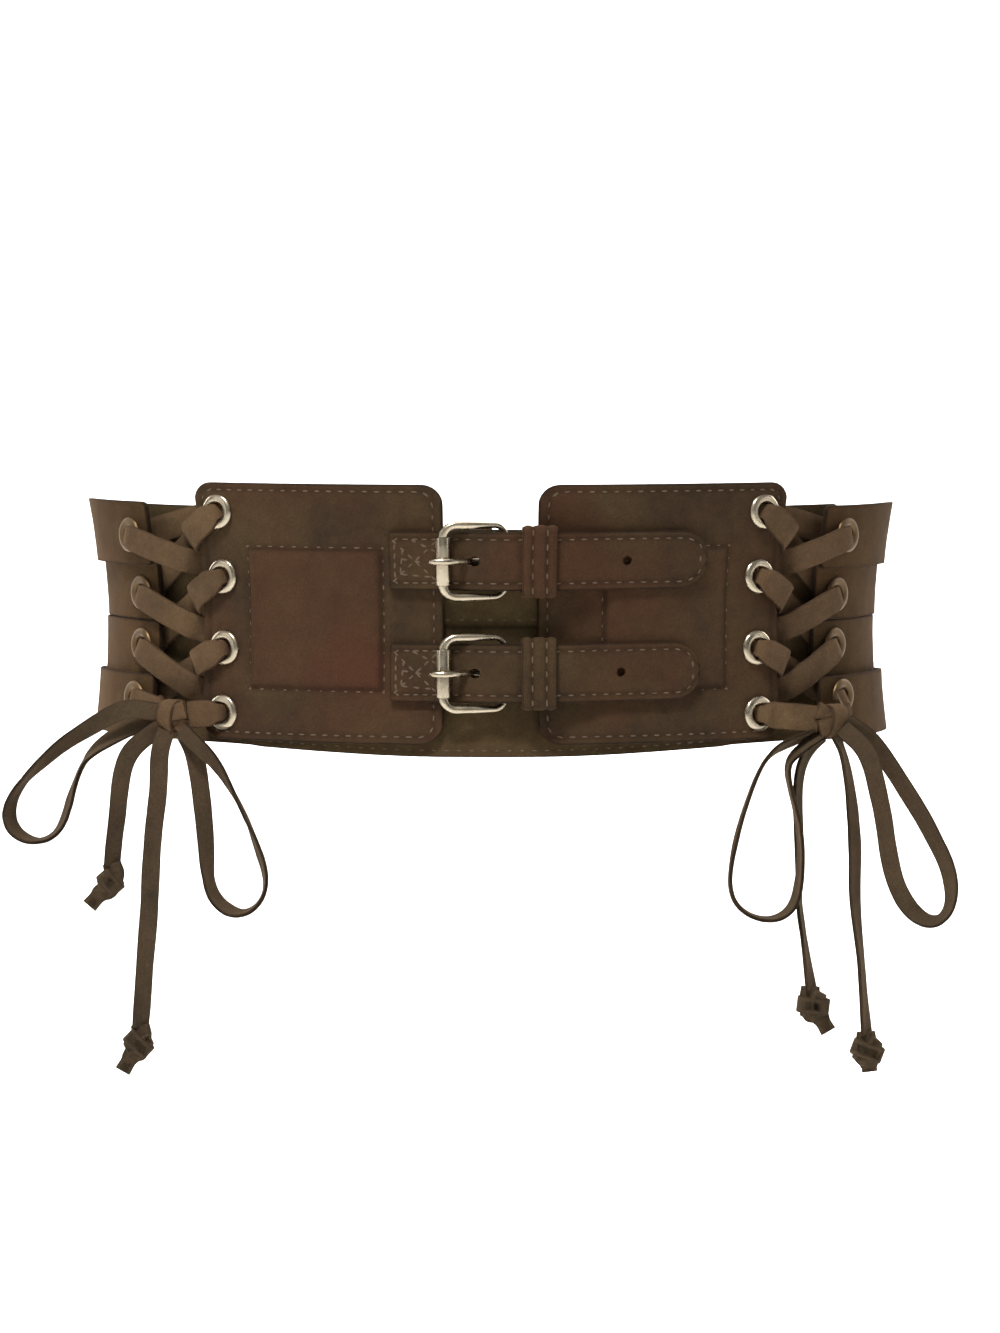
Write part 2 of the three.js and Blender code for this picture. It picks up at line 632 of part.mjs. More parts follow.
// Up through an eyelet from behind: in along one way, out along another
function throughEyelet(hole, wayIn, wayOut) {
  const front = overEyelet(hole.outLift);
  const acrossIn = acrossOf(wayIn);
  const acrossOut = acrossOf(wayOut);
  if (acrossIn.dot(acrossOut) < 0) {
    acrossOut.negate();
  }
  const between = (share) => acrossIn.clone().lerp(acrossOut, share).normalize();
  const behind = [...EYELET_BEND].reverse().map((bend) => {
    const lift = BEHIND_LIFT + bend.below * EYELET_HOLE_RADIUS;
    return thongStation(hole, wayIn, -bend.out * EYELET_RADIUS, lift, acrossIn, bend.spread);
  });
  const inside = [0.3, 0.7].map((share) => {
    const lift = THREE.MathUtils.lerp(hole.inLift, hole.outLift, share);
    return thongStation(hole, wayIn, 0, lift, between(share), 0);
  });
  const before = EYELET_BEND.map((bend) => {
    const lift = front - bend.below * EYELET_HOLE_RADIUS;
    return thongStation(hole, wayOut, bend.out * EYELET_RADIUS, lift, acrossOut, bend.spread);
  });
  return [...behind, ...inside, ...before];
}

// Across the laced gap, from the front of one eyelet to the back of the next
function acrossGap(side, from, to) {
  const leavesStrap = Math.abs(from.u) > Math.abs(to.u);
  const way = heading(from, to);
  const rise = overEyelet(from.outLift) - BEHIND_LIFT;
  const steps = leavesStrap ? GAP_RUN : [...GAP_RUN].reverse();
  return steps.map((step) => {
    const u = side.sign * (strapEndU(side) - step.across * side.lacedGap);
    const distance = (u - from.u) / way.x;
    const lift = BEHIND_LIFT + rise * (leavesStrap ? step.over : step.under);
    return thongStation(from, way, distance, lift, acrossOf(way), 1);
  });
}

// From the middle of a bow's knot to its surface, along a direction
function knotReach(along, out, up) {
  const shares = [along / BOW_KNOT.along, out / BOW_KNOT.out, up / BOW_KNOT.up];
  return shares.reduce((sum, share) => sum + Math.abs(share) ** KNOT_POWER, 0) ** (-1 / KNOT_POWER);
}

function bowCentre(side) {
  const u = side.sign * (PANEL_OUTER_U + side.lacedGap / 2 + side.bowOffset);
  return { u, z: side.bowZ, lift: side.bowLift };
}

// How far the surface of a bow's knot is from its middle, in the direction of a point
function knotReachTo(side, point) {
  const { u, z, lift } = bowCentre(side);
  const middle = waistPoint(u, z, lift);
  const along = waistPoint(u + 1, z, lift).sub(middle).normalize();
  const out = waistPoint(u, z, lift + 1).sub(middle).normalize();
  const way = point.clone().sub(middle).normalize();
  return { middle, way, reach: knotReach(way.dot(along), way.dot(out), way.z) };
}

function clearOfKnot(side, points) {
  return points.every((point) => {
    const { middle, reach } = knotReachTo(side, point);
    return point.distanceTo(middle) >= reach + 1.6 * GAP;
  });
}

// One strand from its first eyelet down to the bow
function strand(side, holes, wayIn) {
  const bow = bowCentre(side);
  const stations = [];
  holes.forEach((hole, i) => {
    const arriving = i === 0 ? wayIn : heading(holes[i - 1], hole);
    const leaving = i === holes.length - 1 ? heading(hole, bow) : heading(hole, holes[i + 1]);
    stations.push(...throughEyelet(hole, arriving, leaving));
    if (i < holes.length - 1) {
      stations.push(...acrossGap(side, hole, holes[i + 1]));
    }
  });
  const last = holes[holes.length - 1];
  const way = heading(last, bow);
  const whole = Math.hypot(bow.u - last.u, bow.z - last.z);
  const end = (distance) => thongStation(last, way, distance, bow.lift, acrossOf(way), 1);
  const endPoints = (distance) => {
    const { middle, across } = end(distance);
    return [-1, 0, 1].flatMap((edge) =>
      [-1, 1].map((face) => {
        const point = middle.clone().addScaledVector(across, (edge * THONG_WIDTH) / 2);
        point.y += (face * THONG_THICKNESS) / 2;
        return bendVector(point);
      }),
    );
  };
  let stop = whole - knotReach(way.x, 0, way.y);
  while (!clearOfKnot(side, endPoints(stop + THONG_THICKNESS / 2))) {
    stop -= GAP / 2;
  }
  const front = overEyelet(last.outLift);
  const half = (EYELET_BEND[2].out * EYELET_RADIUS + stop) / 2;
  if (stop - half > THONG_THICKNESS) {
    stations.push(thongStation(last, way, half, (front + bow.lift) / 2, acrossOf(way), 1));
  }
  stations.push(end(stop));
  return stations;
}

// Both strands and the bar between the top eyelets are one thong
function makeLacing(side) {
  const panelHole = (row) => ({ ...panelEyeletAt(side, row), inLift: PANEL_IN, outLift: PANEL_OUT });
  const strapHole = (row) => {
    const place = strapEyeletAt(side, row);
    const inLift = strapIn(BACK_STRAPS[row], place.u);
    return { ...place, inLift, outLift: inLift + STRAP_THICKNESS };
  };
  const fromPanel = [panelHole(0), strapHole(1), panelHole(2), strapHole(3)];
  const fromStrap = [strapHole(0), panelHole(1), strapHole(2), panelHole(3)];
  const bar = heading(fromStrap[0], fromPanel[0]);
  const apart = Math.hypot(fromPanel[0].u - fromStrap[0].u, fromPanel[0].z - fromStrap[0].z);
  const onBar = [0.3, 0.5, 0.7].map((share) =>
    thongStation(fromStrap[0], bar, share * apart, BEHIND_LIFT, acrossOf(bar), 1),
  );
  const stations = [
    ...strand(side, fromStrap, bar.clone().negate()).reverse(),
    ...onBar,
    ...strand(side, fromPanel, bar),
  ];
  for (let i = 1; i < stations.length; i += 1) {
    if (stations[i].across.dot(stations[i - 1].across) < 0) {
      stations[i].across = stations[i].across.clone().negate();
    }
  }
  const rings = thongRings(stations).map((ring) => ring.map(bendVector));
  return closedBody(loft(rings));
}

// A round rod along flat stations, each with its middle and radius
function rod(stations, closed = false) {
  const count = stations.length;
  const rings = stations.map((station, i) => {
    const before = stations[closed ? (i + count - 1) % count : Math.max(0, i - 1)].middle;
    const after = stations[closed ? (i + 1) % count : Math.min(count - 1, i + 1)].middle;
    const tangent = after.clone().sub(before).normalize();
    const first = station.aside.clone().addScaledVector(tangent, -station.aside.dot(tangent)).normalize();
    const second = tangent.clone().cross(first);
    return Array.from({ length: ROD_SIDES }, (_, j) => {
      const turn = (2 * Math.PI * (j + 0.5)) / ROD_SIDES;
      return station.middle
        .clone()
        .addScaledVector(first, station.radius * Math.cos(turn))
        .addScaledVector(second, station.radius * Math.sin(turn));
    });
  });
  return loft(rings, closed);
}

// Buckle: a point at a share of the way from the heel bar to the front bar
function onBuckle(share, z, above = 0) {
  const heel = new THREE.Vector2(HEEL_BAR_U, HEEL_LIFT);
  const front = new THREE.Vector2(FRONT_BAR_U, FRONT_BAR_LIFT);
  const along = front.clone().sub(heel);
  const up = new THREE.Vector2(along.y, -along.x).normalize();
  const place = heel.addScaledVector(along, share).addScaledVector(up, above);
  return new THREE.Vector3(place.x, place.y, z);
}

function makeBuckleFrame(row) {
  const reach = Math.hypot(FRONT_BAR_U - HEEL_BAR_U, FRONT_BAR_LIFT - HEEL_LIFT);
  const half = BILLET_WIDTH / 2 + BUCKLE_SIDE_CLEARANCE + BUCKLE_ROD_RADIUS;
  const outline = [];
  const corner = (along, z, radius, fromTurn) => {
    for (let i = 0; i <= 3; i += 1) {
      const turn = fromTurn + (i * Math.PI) / 6;
      outline.push([along + radius * Math.cos(turn), z + radius * Math.sin(turn)]);
    }
  };
  const frontMiddle = reach - BUCKLE_FRONT_CORNER;
  corner(frontMiddle, half - BUCKLE_FRONT_CORNER, BUCKLE_FRONT_CORNER, 0);
  corner(BUCKLE_HEEL_CORNER, half - BUCKLE_HEEL_CORNER, BUCKLE_HEEL_CORNER, Math.PI / 2);
  corner(BUCKLE_HEEL_CORNER, BUCKLE_HEEL_CORNER - half, BUCKLE_HEEL_CORNER, Math.PI);
  corner(frontMiddle, BUCKLE_FRONT_CORNER - half, BUCKLE_FRONT_CORNER, 1.5 * Math.PI);
  const facing = onBuckle(0, 0, 1).sub(onBuckle(0, 0, 0));
  const stations = outline.map(([along, z]) => ({
    middle: onBuckle(along / reach, row.z + z),
    aside: facing,
    radius: BUCKLE_ROD_RADIUS,
  }));
  return closedBody(bent(rod(stations, true)));
}

function makeTube(u, lift, z, innerRadius, outerRadius, length, sides) {
  const profile = [
    [innerRadius, -length / 2],
    [outerRadius, -length / 2],
    [outerRadius, length / 2],
    [innerRadius, length / 2],
    [innerRadius, -length / 2],
  ].map(([radius, height]) => new THREE.Vector2(radius, height));
  const tube = new THREE.LatheGeometry(profile, sides);
  tube.rotateX(Math.PI / 2);
  tube.translate(u, lift, z);
  return tube;
}

function makeRoller(row) {
  const inner = BUCKLE_ROD_RADIUS + GAP;
  return closedBody(bent(makeTube(FRONT_BAR_U, FRONT_BAR_LIFT, row.z, inner, ROLLER_RADIUS, ROLLER_LENGTH, 12)));
}

// Prong: an eye round the heel bar and a rod up through the billet and over the roller
const PRONG_REST_LIFT = FRONT_BAR_LIFT + ROLLER_RADIUS + GAP + PRONG_RADIUS;
const PRONG_TIP_U = FRONT_BAR_U - ROLLER_RADIUS - PRONG_OVERHANG;
const PRONG_ROUTE = [
  { along: 0.12, rise: 0.04, thick: 1 },
  { along: 0.26, rise: 0.13, thick: 1 },
  { along: 0.42, rise: 0.3, thick: 1 },
  { along: 0.58, rise: 0.6, thick: 1 },
  { along: 0.72, rise: 0.88, thick: 1 },
  { along: 0.86, rise: 1, thick: 0.95 },
  { along: 0.96, rise: 0.97, thick: 0.85 },
  { along: 1, rise: 0.93, thick: 0.6 },
];

function prongAt(step) {
  const u = THREE.MathUtils.lerp(HEEL_BAR_U, PRONG_TIP_U, step.along);
  const lift = THREE.MathUtils.lerp(HEEL_LIFT, PRONG_REST_LIFT, step.rise);
  return new THREE.Vector2(u, lift);
}

function makeProng(row) {
  const stations = PRONG_ROUTE.map((step) => {
    const place = prongAt(step);
    return {
      middle: new THREE.Vector3(place.x, place.y, row.z),
      aside: new THREE.Vector3(0, 0, 1),
      radius: PRONG_RADIUS * step.thick,
    };
  });
  const eye = makeTube(
    HEEL_BAR_U, HEEL_LIFT, row.z, BUCKLE_ROD_RADIUS + GAP, PRONG_EYE_RADIUS, PRONG_EYE_WIDTH, 12,
  );
  return closedBody(bent(joined(rod(stations), eye)));
}

// How high the inner face of a billet lies along the waist
function billetIn(row, u) {
  const places = [
    [-PANEL_INNER_U, BILLET_ON_PANEL],
    [FRONT_BAR_U + ROLLER_RADIUS, BILLET_ON_PANEL],
    [HEEL_BAR_U - CHAPE_BEND_RADIUS / 2, BILLET_OVER_HEEL],
    [HEEL_BAR_U + CHAPE_BEND_RADIUS, BILLET_OVER_HEEL],
    [KEEPER_U - KEEPER_WIDTH / 2, BILLET_OVER_KEEPER],
    [KEEPER_END_U + CHAPE_THICKNESS, BILLET_OVER_KEEPER],
    [KEEPER_END_U + CHAPE_TAB + KEEPER_WIDTH, BILLET_ON_PANEL + GAP],
    [row.tipU, BILLET_ON_PANEL],
  ];
  if (u <= places[0][0]) {
    return places[0][1];
  }
  for (let i = 1; i < places.length; i += 1) {
    const [nextU, nextLift] = places[i];
    if (u <= nextU) {
      const [lastU, lastLift] = places[i - 1];
      return THREE.MathUtils.lerp(lastLift, nextLift, THREE.MathUtils.smoothstep(u, lastU, nextU));
    }
  }
  return BILLET_ON_PANEL;
}

function makeBillet(row) {
  const start = -PANEL_INNER_U - BILLET_START_BEFORE_EDGE;
  const taperStart = row.tipU - BILLET_TIP_LENGTH;
  const half = (u) => {
    if (u <= taperStart) {
      return BILLET_WIDTH / 2 - cornerCut(BILLET_START_CORNER, u - start);
    }
    const share = (u - taperStart) / BILLET_TIP_LENGTH;
    const rounded = Math.sqrt(1 - share ** 2 * (1 - BILLET_TIP_BLUNT ** 2));
    return (BILLET_WIDTH / 2) * rounded;
  };
  const tipStops = [0, 0.35, 0.6, 0.8, 0.93, 1].map((share) => taperStart + share * BILLET_TIP_LENGTH);
  const rise = [0, 0.2, 0.4, 0.6, 0.8, 1].map((share) =>
    THREE.MathUtils.lerp(FRONT_BAR_U + ROLLER_RADIUS, HEEL_BAR_U - CHAPE_BEND_RADIUS / 2, share),
  );
  const columns = stops(start, row.tipU, SHEET_STEP / 2, [
    start, start + BILLET_START_CORNER, ...rise, HEEL_BAR_U + CHAPE_BEND_RADIUS,
    KEEPER_U - KEEPER_WIDTH / 2, KEEPER_END_U + CHAPE_THICKNESS, ...tipStops,
  ]);
  const billet = leather({
    columns: columns.filter((u) => u <= taperStart || tipStops.includes(u)),
    top: (u) => row.z + half(u),
    bottom: (u) => row.z - half(u),
    inner: (u) => billetIn(row, u),
    thickness: BILLET_THICKNESS,
    rows: 1,
  });
  const prongHole = prongSlot(row);
  const low = BILLET_ON_PANEL - 1;
  const high = BILLET_OVER_HEEL + BILLET_THICKNESS + 1;
  return cut(billet, [
    cutterThrough(prongHole.u, row.z, PRONG_RADIUS + 2 * GAP, low, high, prongHole.slot),
    cutterThrough(row.punchedHoleU, row.z, PUNCHED_HOLE_RADIUS, low, high),
  ]);
}

// The stretch of the billet that the prong passes, found along its route
function prongSlot(row) {
  const inside = [];
  for (let i = 0; i + 1 < PRONG_ROUTE.length; i += 1) {
    for (let share = 0; share < 1; share += 0.1) {
      const place = prongAt(PRONG_ROUTE[i]).lerp(prongAt(PRONG_ROUTE[i + 1]), share);
      const low = billetIn(row, place.x) - PRONG_RADIUS;
      const high = billetIn(row, place.x) + BILLET_THICKNESS + PRONG_RADIUS;
      if (place.y > low && place.y < high && place.x > FRONT_BAR_U) {
        inside.push(place.x);
      }
    }
  }
  const left = Math.min(...inside);
  const right = Math.max(...inside);
  return { u: (left + right) / 2, slot: right - left };
}

// Chape: a folded tab from the right panel round the heel bar, with a slot for the prong's eye
function makeChape(row) {
  const bend = CHAPE_BEND_RADIUS;
  const half = CHAPE_THICKNESS / 2;
  const overKeeper = CHAPE_OVER_KEEPER + half;
  const route = [
    [KEEPER_END_U + CHAPE_TAB, BILLET_ON_PANEL + half],
    [KEEPER_END_U + 2 * CHAPE_THICKNESS, BILLET_ON_PANEL + half],
    [KEEPER_END_U + half, overKeeper],
    [KEEPER_U - KEEPER_WIDTH / 2, overKeeper],
  ];
  for (let i = 0; i <= 8; i += 1) {
    const turn = Math.PI / 2 + (i * Math.PI) / 8;
    route.push([HEEL_BAR_U + bend * Math.cos(turn), HEEL_LIFT + bend * Math.sin(turn)]);
  }
  route.push([PANEL_INNER_U - 2 * GAP, HEEL_LIFT - bend]);
  const stations = route.map(([u, lift]) => ({
    middle: new THREE.Vector3(u, lift, row.z),
    across: new THREE.Vector3(0, 0, 1),
    width: CHAPE_WIDTH,
    thickness: CHAPE_THICKNESS,
  }));
  const slotHalf = PRONG_EYE_WIDTH / 2 + GAP;
  const reach = PRONG_EYE_RADIUS + GAP + CHAPE_THICKNESS;
  const slot = new THREE.BoxGeometry(2 * reach - CHAPE_THICKNESS, 2 * reach, 2 * slotHalf);
  slot.translate(HEEL_BAR_U - CHAPE_THICKNESS / 2, HEEL_LIFT, row.z);
  return closedBody(bent(cut(loft(thongRings(stations)), [slot])));
}

// Keeper: a closed loop round the billet and the chape
function makeKeeper(row) {
  const half = KEEPER_THICKNESS / 2;
  const sideZ = BILLET_WIDTH / 2 + GAP + half;
  const backLift = KEEPER_IN + half;
  const frontLift = BILLET_OVER_KEEPER + BILLET_THICKNESS + GAP + half;
  const corner = KEEPER_THICKNESS;
  const loop = [];
  const turnCorner = (z, lift, fromTurn) => {
    for (let i = 0; i <= 2; i += 1) {
      const turn = fromTurn + (i * Math.PI) / 4;
      loop.push([z + corner * Math.cos(turn), lift + corner * Math.sin(turn)]);
    }
  };
  turnCorner(sideZ - corner, frontLift - corner, 0);
  turnCorner(corner - sideZ, frontLift - corner, Math.PI / 2);
  turnCorner(corner - sideZ, backLift + corner, Math.PI);
  turnCorner(sideZ - corner, backLift + corner, 1.5 * Math.PI);
  const rings = loop.map(([z, lift], i) => {
    const [beforeZ, beforeLift] = loop[(i + loop.length - 1) % loop.length];
    const [afterZ, afterLift] = loop[(i + 1) % loop.length];
    const out = new THREE.Vector2(afterLift - beforeLift, beforeZ - afterZ).normalize();
    const at = (u, side) => new THREE.Vector3(u, lift + side * out.y * half, row.z + z + side * out.x * half);
    const left = KEEPER_U - KEEPER_WIDTH / 2;
    return [at(left, 1), at(KEEPER_END_U, 1), at(KEEPER_END_U, -1), at(left, -1)];
  });
  return closedBody(bent(loft(rings, true)));
}

// A knot: a ball with its sides pressed in
function knotBall(size, sides, rings) {
  const ball = new THREE.SphereGeometry(1, sides, rings);
  const position = ball.attributes.position;
  const pressed = (value) => Math.sign(value) * Math.abs(value) ** (2 / KNOT_POWER);
  for (let i = 0; i < position.count; i += 1) {
    position.setXYZ(
      i,
      size.along * pressed(position.getX(i)),
      size.out * pressed(position.getY(i)),
      size.up * pressed(position.getZ(i)),
    );
  }
  return ball;
}

function makeBowKnot(side) {
  const centre = bowCentre(side);
  const ball = knotBall(BOW_KNOT, 10, 6);
  ball.translate(centre.u, centre.lift, centre.z);
  return closedBody(bent(ball));
}

// The end of a free thong, brought to the surface of its bow's knot
function seatOnKnot(point, side) {
  const { middle, way, reach } = knotReachTo(side, point);
  return middle.addScaledVector(way, reach);
}

// Its end section, moved along the thong until it clears the knot
function endClearOfKnot(ring, direction, side) {
  const moved = ring.map((point) => point.clone());
  const between = () => moved.map((point, i) => point.clone().lerp(moved[(i + 1) % moved.length], 0.5));
  while (!clearOfKnot(side, [...moved, ...between()])) {
    moved.forEach((point) => point.addScaledVector(direction, GAP / 2));
  }
  return moved;
}

// A free thong: a smooth curve through its points, with a flat eight-sided section
function freeStations(name, side) {
  const centre = bowCentre(side);
  const middle = waistPoint(centre.u, centre.z, centre.lift);
  const points = FREE_THONGS[name].map(([x, y, z]) => new THREE.Vector3(x, y, z).add(middle));
  points[0] = seatOnKnot(points[0], side);
  if (!(name in TAIL_ENDS)) {
    points[points.length - 1] = seatOnKnot(points[points.length - 1], side);
  }
  const turns = FREE_THONGS[name].map(([, , , turn]) => THREE.MathUtils.degToRad(turn));
  const curve = new THREE.CatmullRomCurve3(points, false, "centripetal");
  const steps = Math.round(curve.getLength() / THONG_STEP);
  return Array.from({ length: steps + 1 }, (_, i) => {
    const t = curve.getUtoTmapping(i / steps);
    const place = t * (points.length - 1);
    const before = Math.min(Math.floor(place), points.length - 2);
    return {
      middle: curve.getPoint(t),
      tangent: curve.getTangent(t),
      turn: THREE.MathUtils.lerp(turns[before], turns[before + 1], place - before),
    };
  });
}

function makeFreeThong(name, side) {
  const halfWidth = THONG_WIDTH / 2;
  const halfThickness = THONG_THICKNESS / 2;
  const bevel = THONG_THICKNESS / 4;
  const section = [
    [halfWidth, halfThickness - bevel], [halfWidth - bevel, halfThickness],
    [bevel - halfWidth, halfThickness], [-halfWidth, halfThickness - bevel],
    [-halfWidth, bevel - halfThickness], [bevel - halfWidth, -halfThickness],
    [halfWidth - bevel, -halfThickness], [halfWidth, bevel - halfThickness],
  ];
  const depth = new THREE.Vector3(0, 1, 0);
  const stations = freeStations(name, side);
  const rings = stations.map(({ middle, tangent, turn }) => {
    const edge = depth.clone().addScaledVector(tangent, -depth.dot(tangent)).normalize();
    const face = tangent.clone().cross(edge);
    const width = edge.clone().multiplyScalar(Math.cos(turn)).addScaledVector(face, Math.sin(turn));
    const normal = tangent.clone().cross(width);
    return section.map(([w, n]) => middle.clone().addScaledVector(width, w).addScaledVector(normal, n));
  });
  const last = rings.length - 1;
  rings[0] = endClearOfKnot(rings[0], stations[0].tangent, side);
  if (!(name in TAIL_ENDS)) {
    rings[last] = endClearOfKnot(rings[last], stations[last].tangent.clone().negate(), side);
  }
  return closedBody(loft(rings));
}

// The knot at the end of a tail, with the cut end of the thong below it
function makeTailKnot(name, side) {
  const stations = freeStations(name, side);
  const { middle, tangent } = stations[stations.length - 1];
  const end = TAIL_ENDS[name];
  const way = new THREE.Vector3(end.along, 0, end.up).normalize();
  const centre = middle.clone().addScaledVector(tangent, TAIL_KNOT.up + GAP);
  const turn = Math.atan2(way.x, -way.z);
  const ball = knotBall(TAIL_KNOT, 8, 6);
  ball.rotateY(-turn);
  ball.translate(centre.x, centre.y, centre.z);
  const stub = new THREE.BoxGeometry(THONG_WIDTH - 1, 2 * THONG_THICKNESS, TAIL_KNOT.up + end.stub);
  stub.translate(0, 0, -(TAIL_KNOT.up + end.stub) / 2);
  stub.rotateY(-turn);
  stub.translate(centre.x, centre.y, centre.z);
  return closedBody(joined(ball, stub));
}

// The belt
const belt = new THREE.Group();

function add(name, geometry, material) {
  const mesh = new THREE.Mesh(closedBody(geometry), material);
  mesh.name = name;
  belt.add(mesh);
}

add("front_base", makeBase(), BASE_SUEDE);

BACK_STRAPS.forEach((strap, row) => {
  add(strap.name, makeStrap(strap, row), STRAP_SUEDE);
});

for (const side of SIDES) {
  add(`${side.name}_panel`, makePanel(side), PANEL_SUEDE);
  BACK_STRAPS.forEach((strap, row) => {
    const inStrap = strapIn(strap, strapEyeletAt(side, row).u);
    const panelEyelet = makeEyelet(panelEyeletAt(side, row), PANEL_IN, PANEL_OUT);
    const strapEyelet = makeEyelet(strapEyeletAt(side, row), inStrap, inStrap + STRAP_THICKNESS);
    add(`${side.name}_panel_eyelet_${row + 1}`, panelEyelet, NICKEL);
    add(`${side.name}_strap_eyelet_${row + 1}`, strapEyelet, NICKEL);
  });
  add(`${side.name}_lacing`, makeLacing(side), THONG_SUEDE);
  add(`${side.name}_bow_knot`, makeBowKnot(side), THONG_SUEDE);
  for (const name of Object.keys(FREE_THONGS).filter((key) => key.startsWith(side.name))) {
    add(name, makeFreeThong(name, side), THONG_SUEDE);
    if (name in TAIL_ENDS) {
      add(`${name}_knot`, makeTailKnot(name, side), THONG_SUEDE);
    }
  }
}

for (const row of ROWS) {
  add(`${row.name}_billet`, makeBillet(row), PANEL_SUEDE);
  add(`${row.name}_chape`, makeChape(row), PANEL_SUEDE);
  add(`${row.name}_keeper`, makeKeeper(row), PANEL_SUEDE);
  add(`${row.name}_buckle_frame`, makeBuckleFrame(row), NICKEL);
  add(`${row.name}_buckle_roller`, makeRoller(row), NICKEL);
  add(`${row.name}_buckle_prong`, makeProng(row), NICKEL);
}

export default belt;
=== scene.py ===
# A wide suede corset belt, fastened as worn: stitched front panels joined by two buckled straps,
# four straps round the back, and a lacing with a bow at each side.
# Sizes are millimetres. They become metres in waist_point, or where MM multiplies them. The front faces -Y.
# Flat layout uses vectors with x = u, the way along the waist, y = lift, the distance outward, z = height.

import math

import bmesh
import bpy
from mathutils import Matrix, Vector, noise


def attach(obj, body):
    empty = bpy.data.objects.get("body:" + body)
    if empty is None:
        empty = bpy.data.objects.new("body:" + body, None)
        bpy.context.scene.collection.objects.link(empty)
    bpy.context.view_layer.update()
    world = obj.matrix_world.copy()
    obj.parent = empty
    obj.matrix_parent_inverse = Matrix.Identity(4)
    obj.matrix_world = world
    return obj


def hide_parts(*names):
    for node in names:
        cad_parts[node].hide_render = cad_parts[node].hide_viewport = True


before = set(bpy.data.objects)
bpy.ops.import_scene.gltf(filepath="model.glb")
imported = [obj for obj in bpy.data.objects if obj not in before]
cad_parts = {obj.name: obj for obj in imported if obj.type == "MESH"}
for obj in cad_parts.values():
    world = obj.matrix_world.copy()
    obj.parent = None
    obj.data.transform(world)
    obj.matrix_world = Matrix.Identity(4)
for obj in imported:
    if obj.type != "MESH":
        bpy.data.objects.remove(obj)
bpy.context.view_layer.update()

MM = 0.001

# Waist form
WAIST_HALF_WIDTH = 125
WAIST_HALF_DEPTH = 93
SIDE_ARC_RADIUS = 70
NARROWEST_Z = -6
FLARE_OUT = 4
FLARE_RISE = 44

# Leather
GAP = 0.3
BASE_THICKNESS = 2
PANEL_THICKNESS = 2.6
STRAP_THICKNESS = 1.9
BILLET_THICKNESS = 2
BILLET_CROWN = 0.35
CHAPE_THICKNESS = 1.4
KEEPER_THICKNESS = 1.4

# Front panels and the layer behind them
PANEL_SPACING = 29
PANEL_WIDTH = 83
PANEL_HEIGHT = 83.4
PANEL_BOTTOM_Z = -37
PANEL_TOP_CORNER = 6.5
PANEL_BOTTOM_CORNER = 7.5
BASE_END_BEYOND_STRAP = 16
BASE_CENTRE_TOP_BELOW_PANEL = 14.5
BASE_END_TOP_BELOW_PANEL = 8
BASE_CENTRE_HEM = 4
BASE_END_HEM = 1.8
BASE_CORNER = 4
BASE_DIP_LENGTH = 9
LACE_ROOM = 0.8

# Eyelets
EYELET_HOLE_RADIUS = 2.7
EYELET_WALL = 0.5
EYELET_BAND = 3.05
EYELET_FRONT_RISE = 1.2
EYELET_BACK_BAND = 1.5
EYELET_BACK_RISE = 0.5
PANEL_EYELET_INSET = 8.8

# Suede thong
THONG_WIDTH = 6
THONG_THICKNESS = 1.3
THONG_BUNCHED_THICKNESS = 1.9
LACING_WIDTH = 8.8
LACING_BUNCHED_WIDTH = 5

# Back straps: heights of the top and bottom edge at the left and right ends
STRAP_END_CORNER = 2
STRAP_STAGGER = 0.4
BACK_DIP = 14.5
BACK_DIP_START_U = 145
BACK_STRAPS = [
    {"name": "back_strap_1", "top": (39.5, 38.2), "bottom": (18.4, 17.4), "outer": True},
    {"name": "back_strap_2", "top": (20.2, 19.6), "bottom": (0.2, 0.4), "proud": "right"},
    {"name": "back_strap_3", "top": (0.1, 0.3), "bottom": (-19.4, -19.6), "proud": "left"},
    {"name": "back_strap_4", "top": (-17.4, -18), "bottom": (-38, -38.6), "outer": True},
]

# The two laced sides
SIDES = {
    "left": {
        "name": "left",
        "sign": -1,
        "laced_gap": 20,
        "strap_inset": 8.8,
        "panel_z": [36.9, 15.8, -7.4, -28.4],
        "strap_z": [28.4, 9.2, -8.2, -25.6],
        "bow_offset": -2.7,
        "bow_z": -30,
        "bow_lift": 10.6,
    },
    "right": {
        "name": "right",
        "sign": 1,
        "laced_gap": 16,
        "strap_inset": 10.4,
        "panel_z": [37, 15.9, -7.4, -28.8],
        "strap_z": [28.4, 8.8, -8, -24.8],
        "bow_offset": 6.2,
        "bow_z": -31.8,
        "bow_lift": 13.2,
    },
}
# A strand across the laced gap: the share of the gap from the strap's end, and its height where it comes
# from the front of the strap and where it comes from the front of the panel
GAP_RUN = [
    (0, 0.93, 0.05), (0.18, 0.9, 0.08), (0.42, 0.76, 0.13), (0.7, 0.52, 0.2),
    (0.79, 0.26, 0.5), (0.87, 0.1, 0.78), (0.94, 0.05, 0.9), (1, 0.03, 0.95),
]
# Round an eyelet's rim: distance in eyelet radii, depth in hole radii, and how far the thong has spread
EYELET_BEND = [(0.13, 0.24, 0.2), (0.4, -0.02, 0.72), (0.73, 0, 1)]

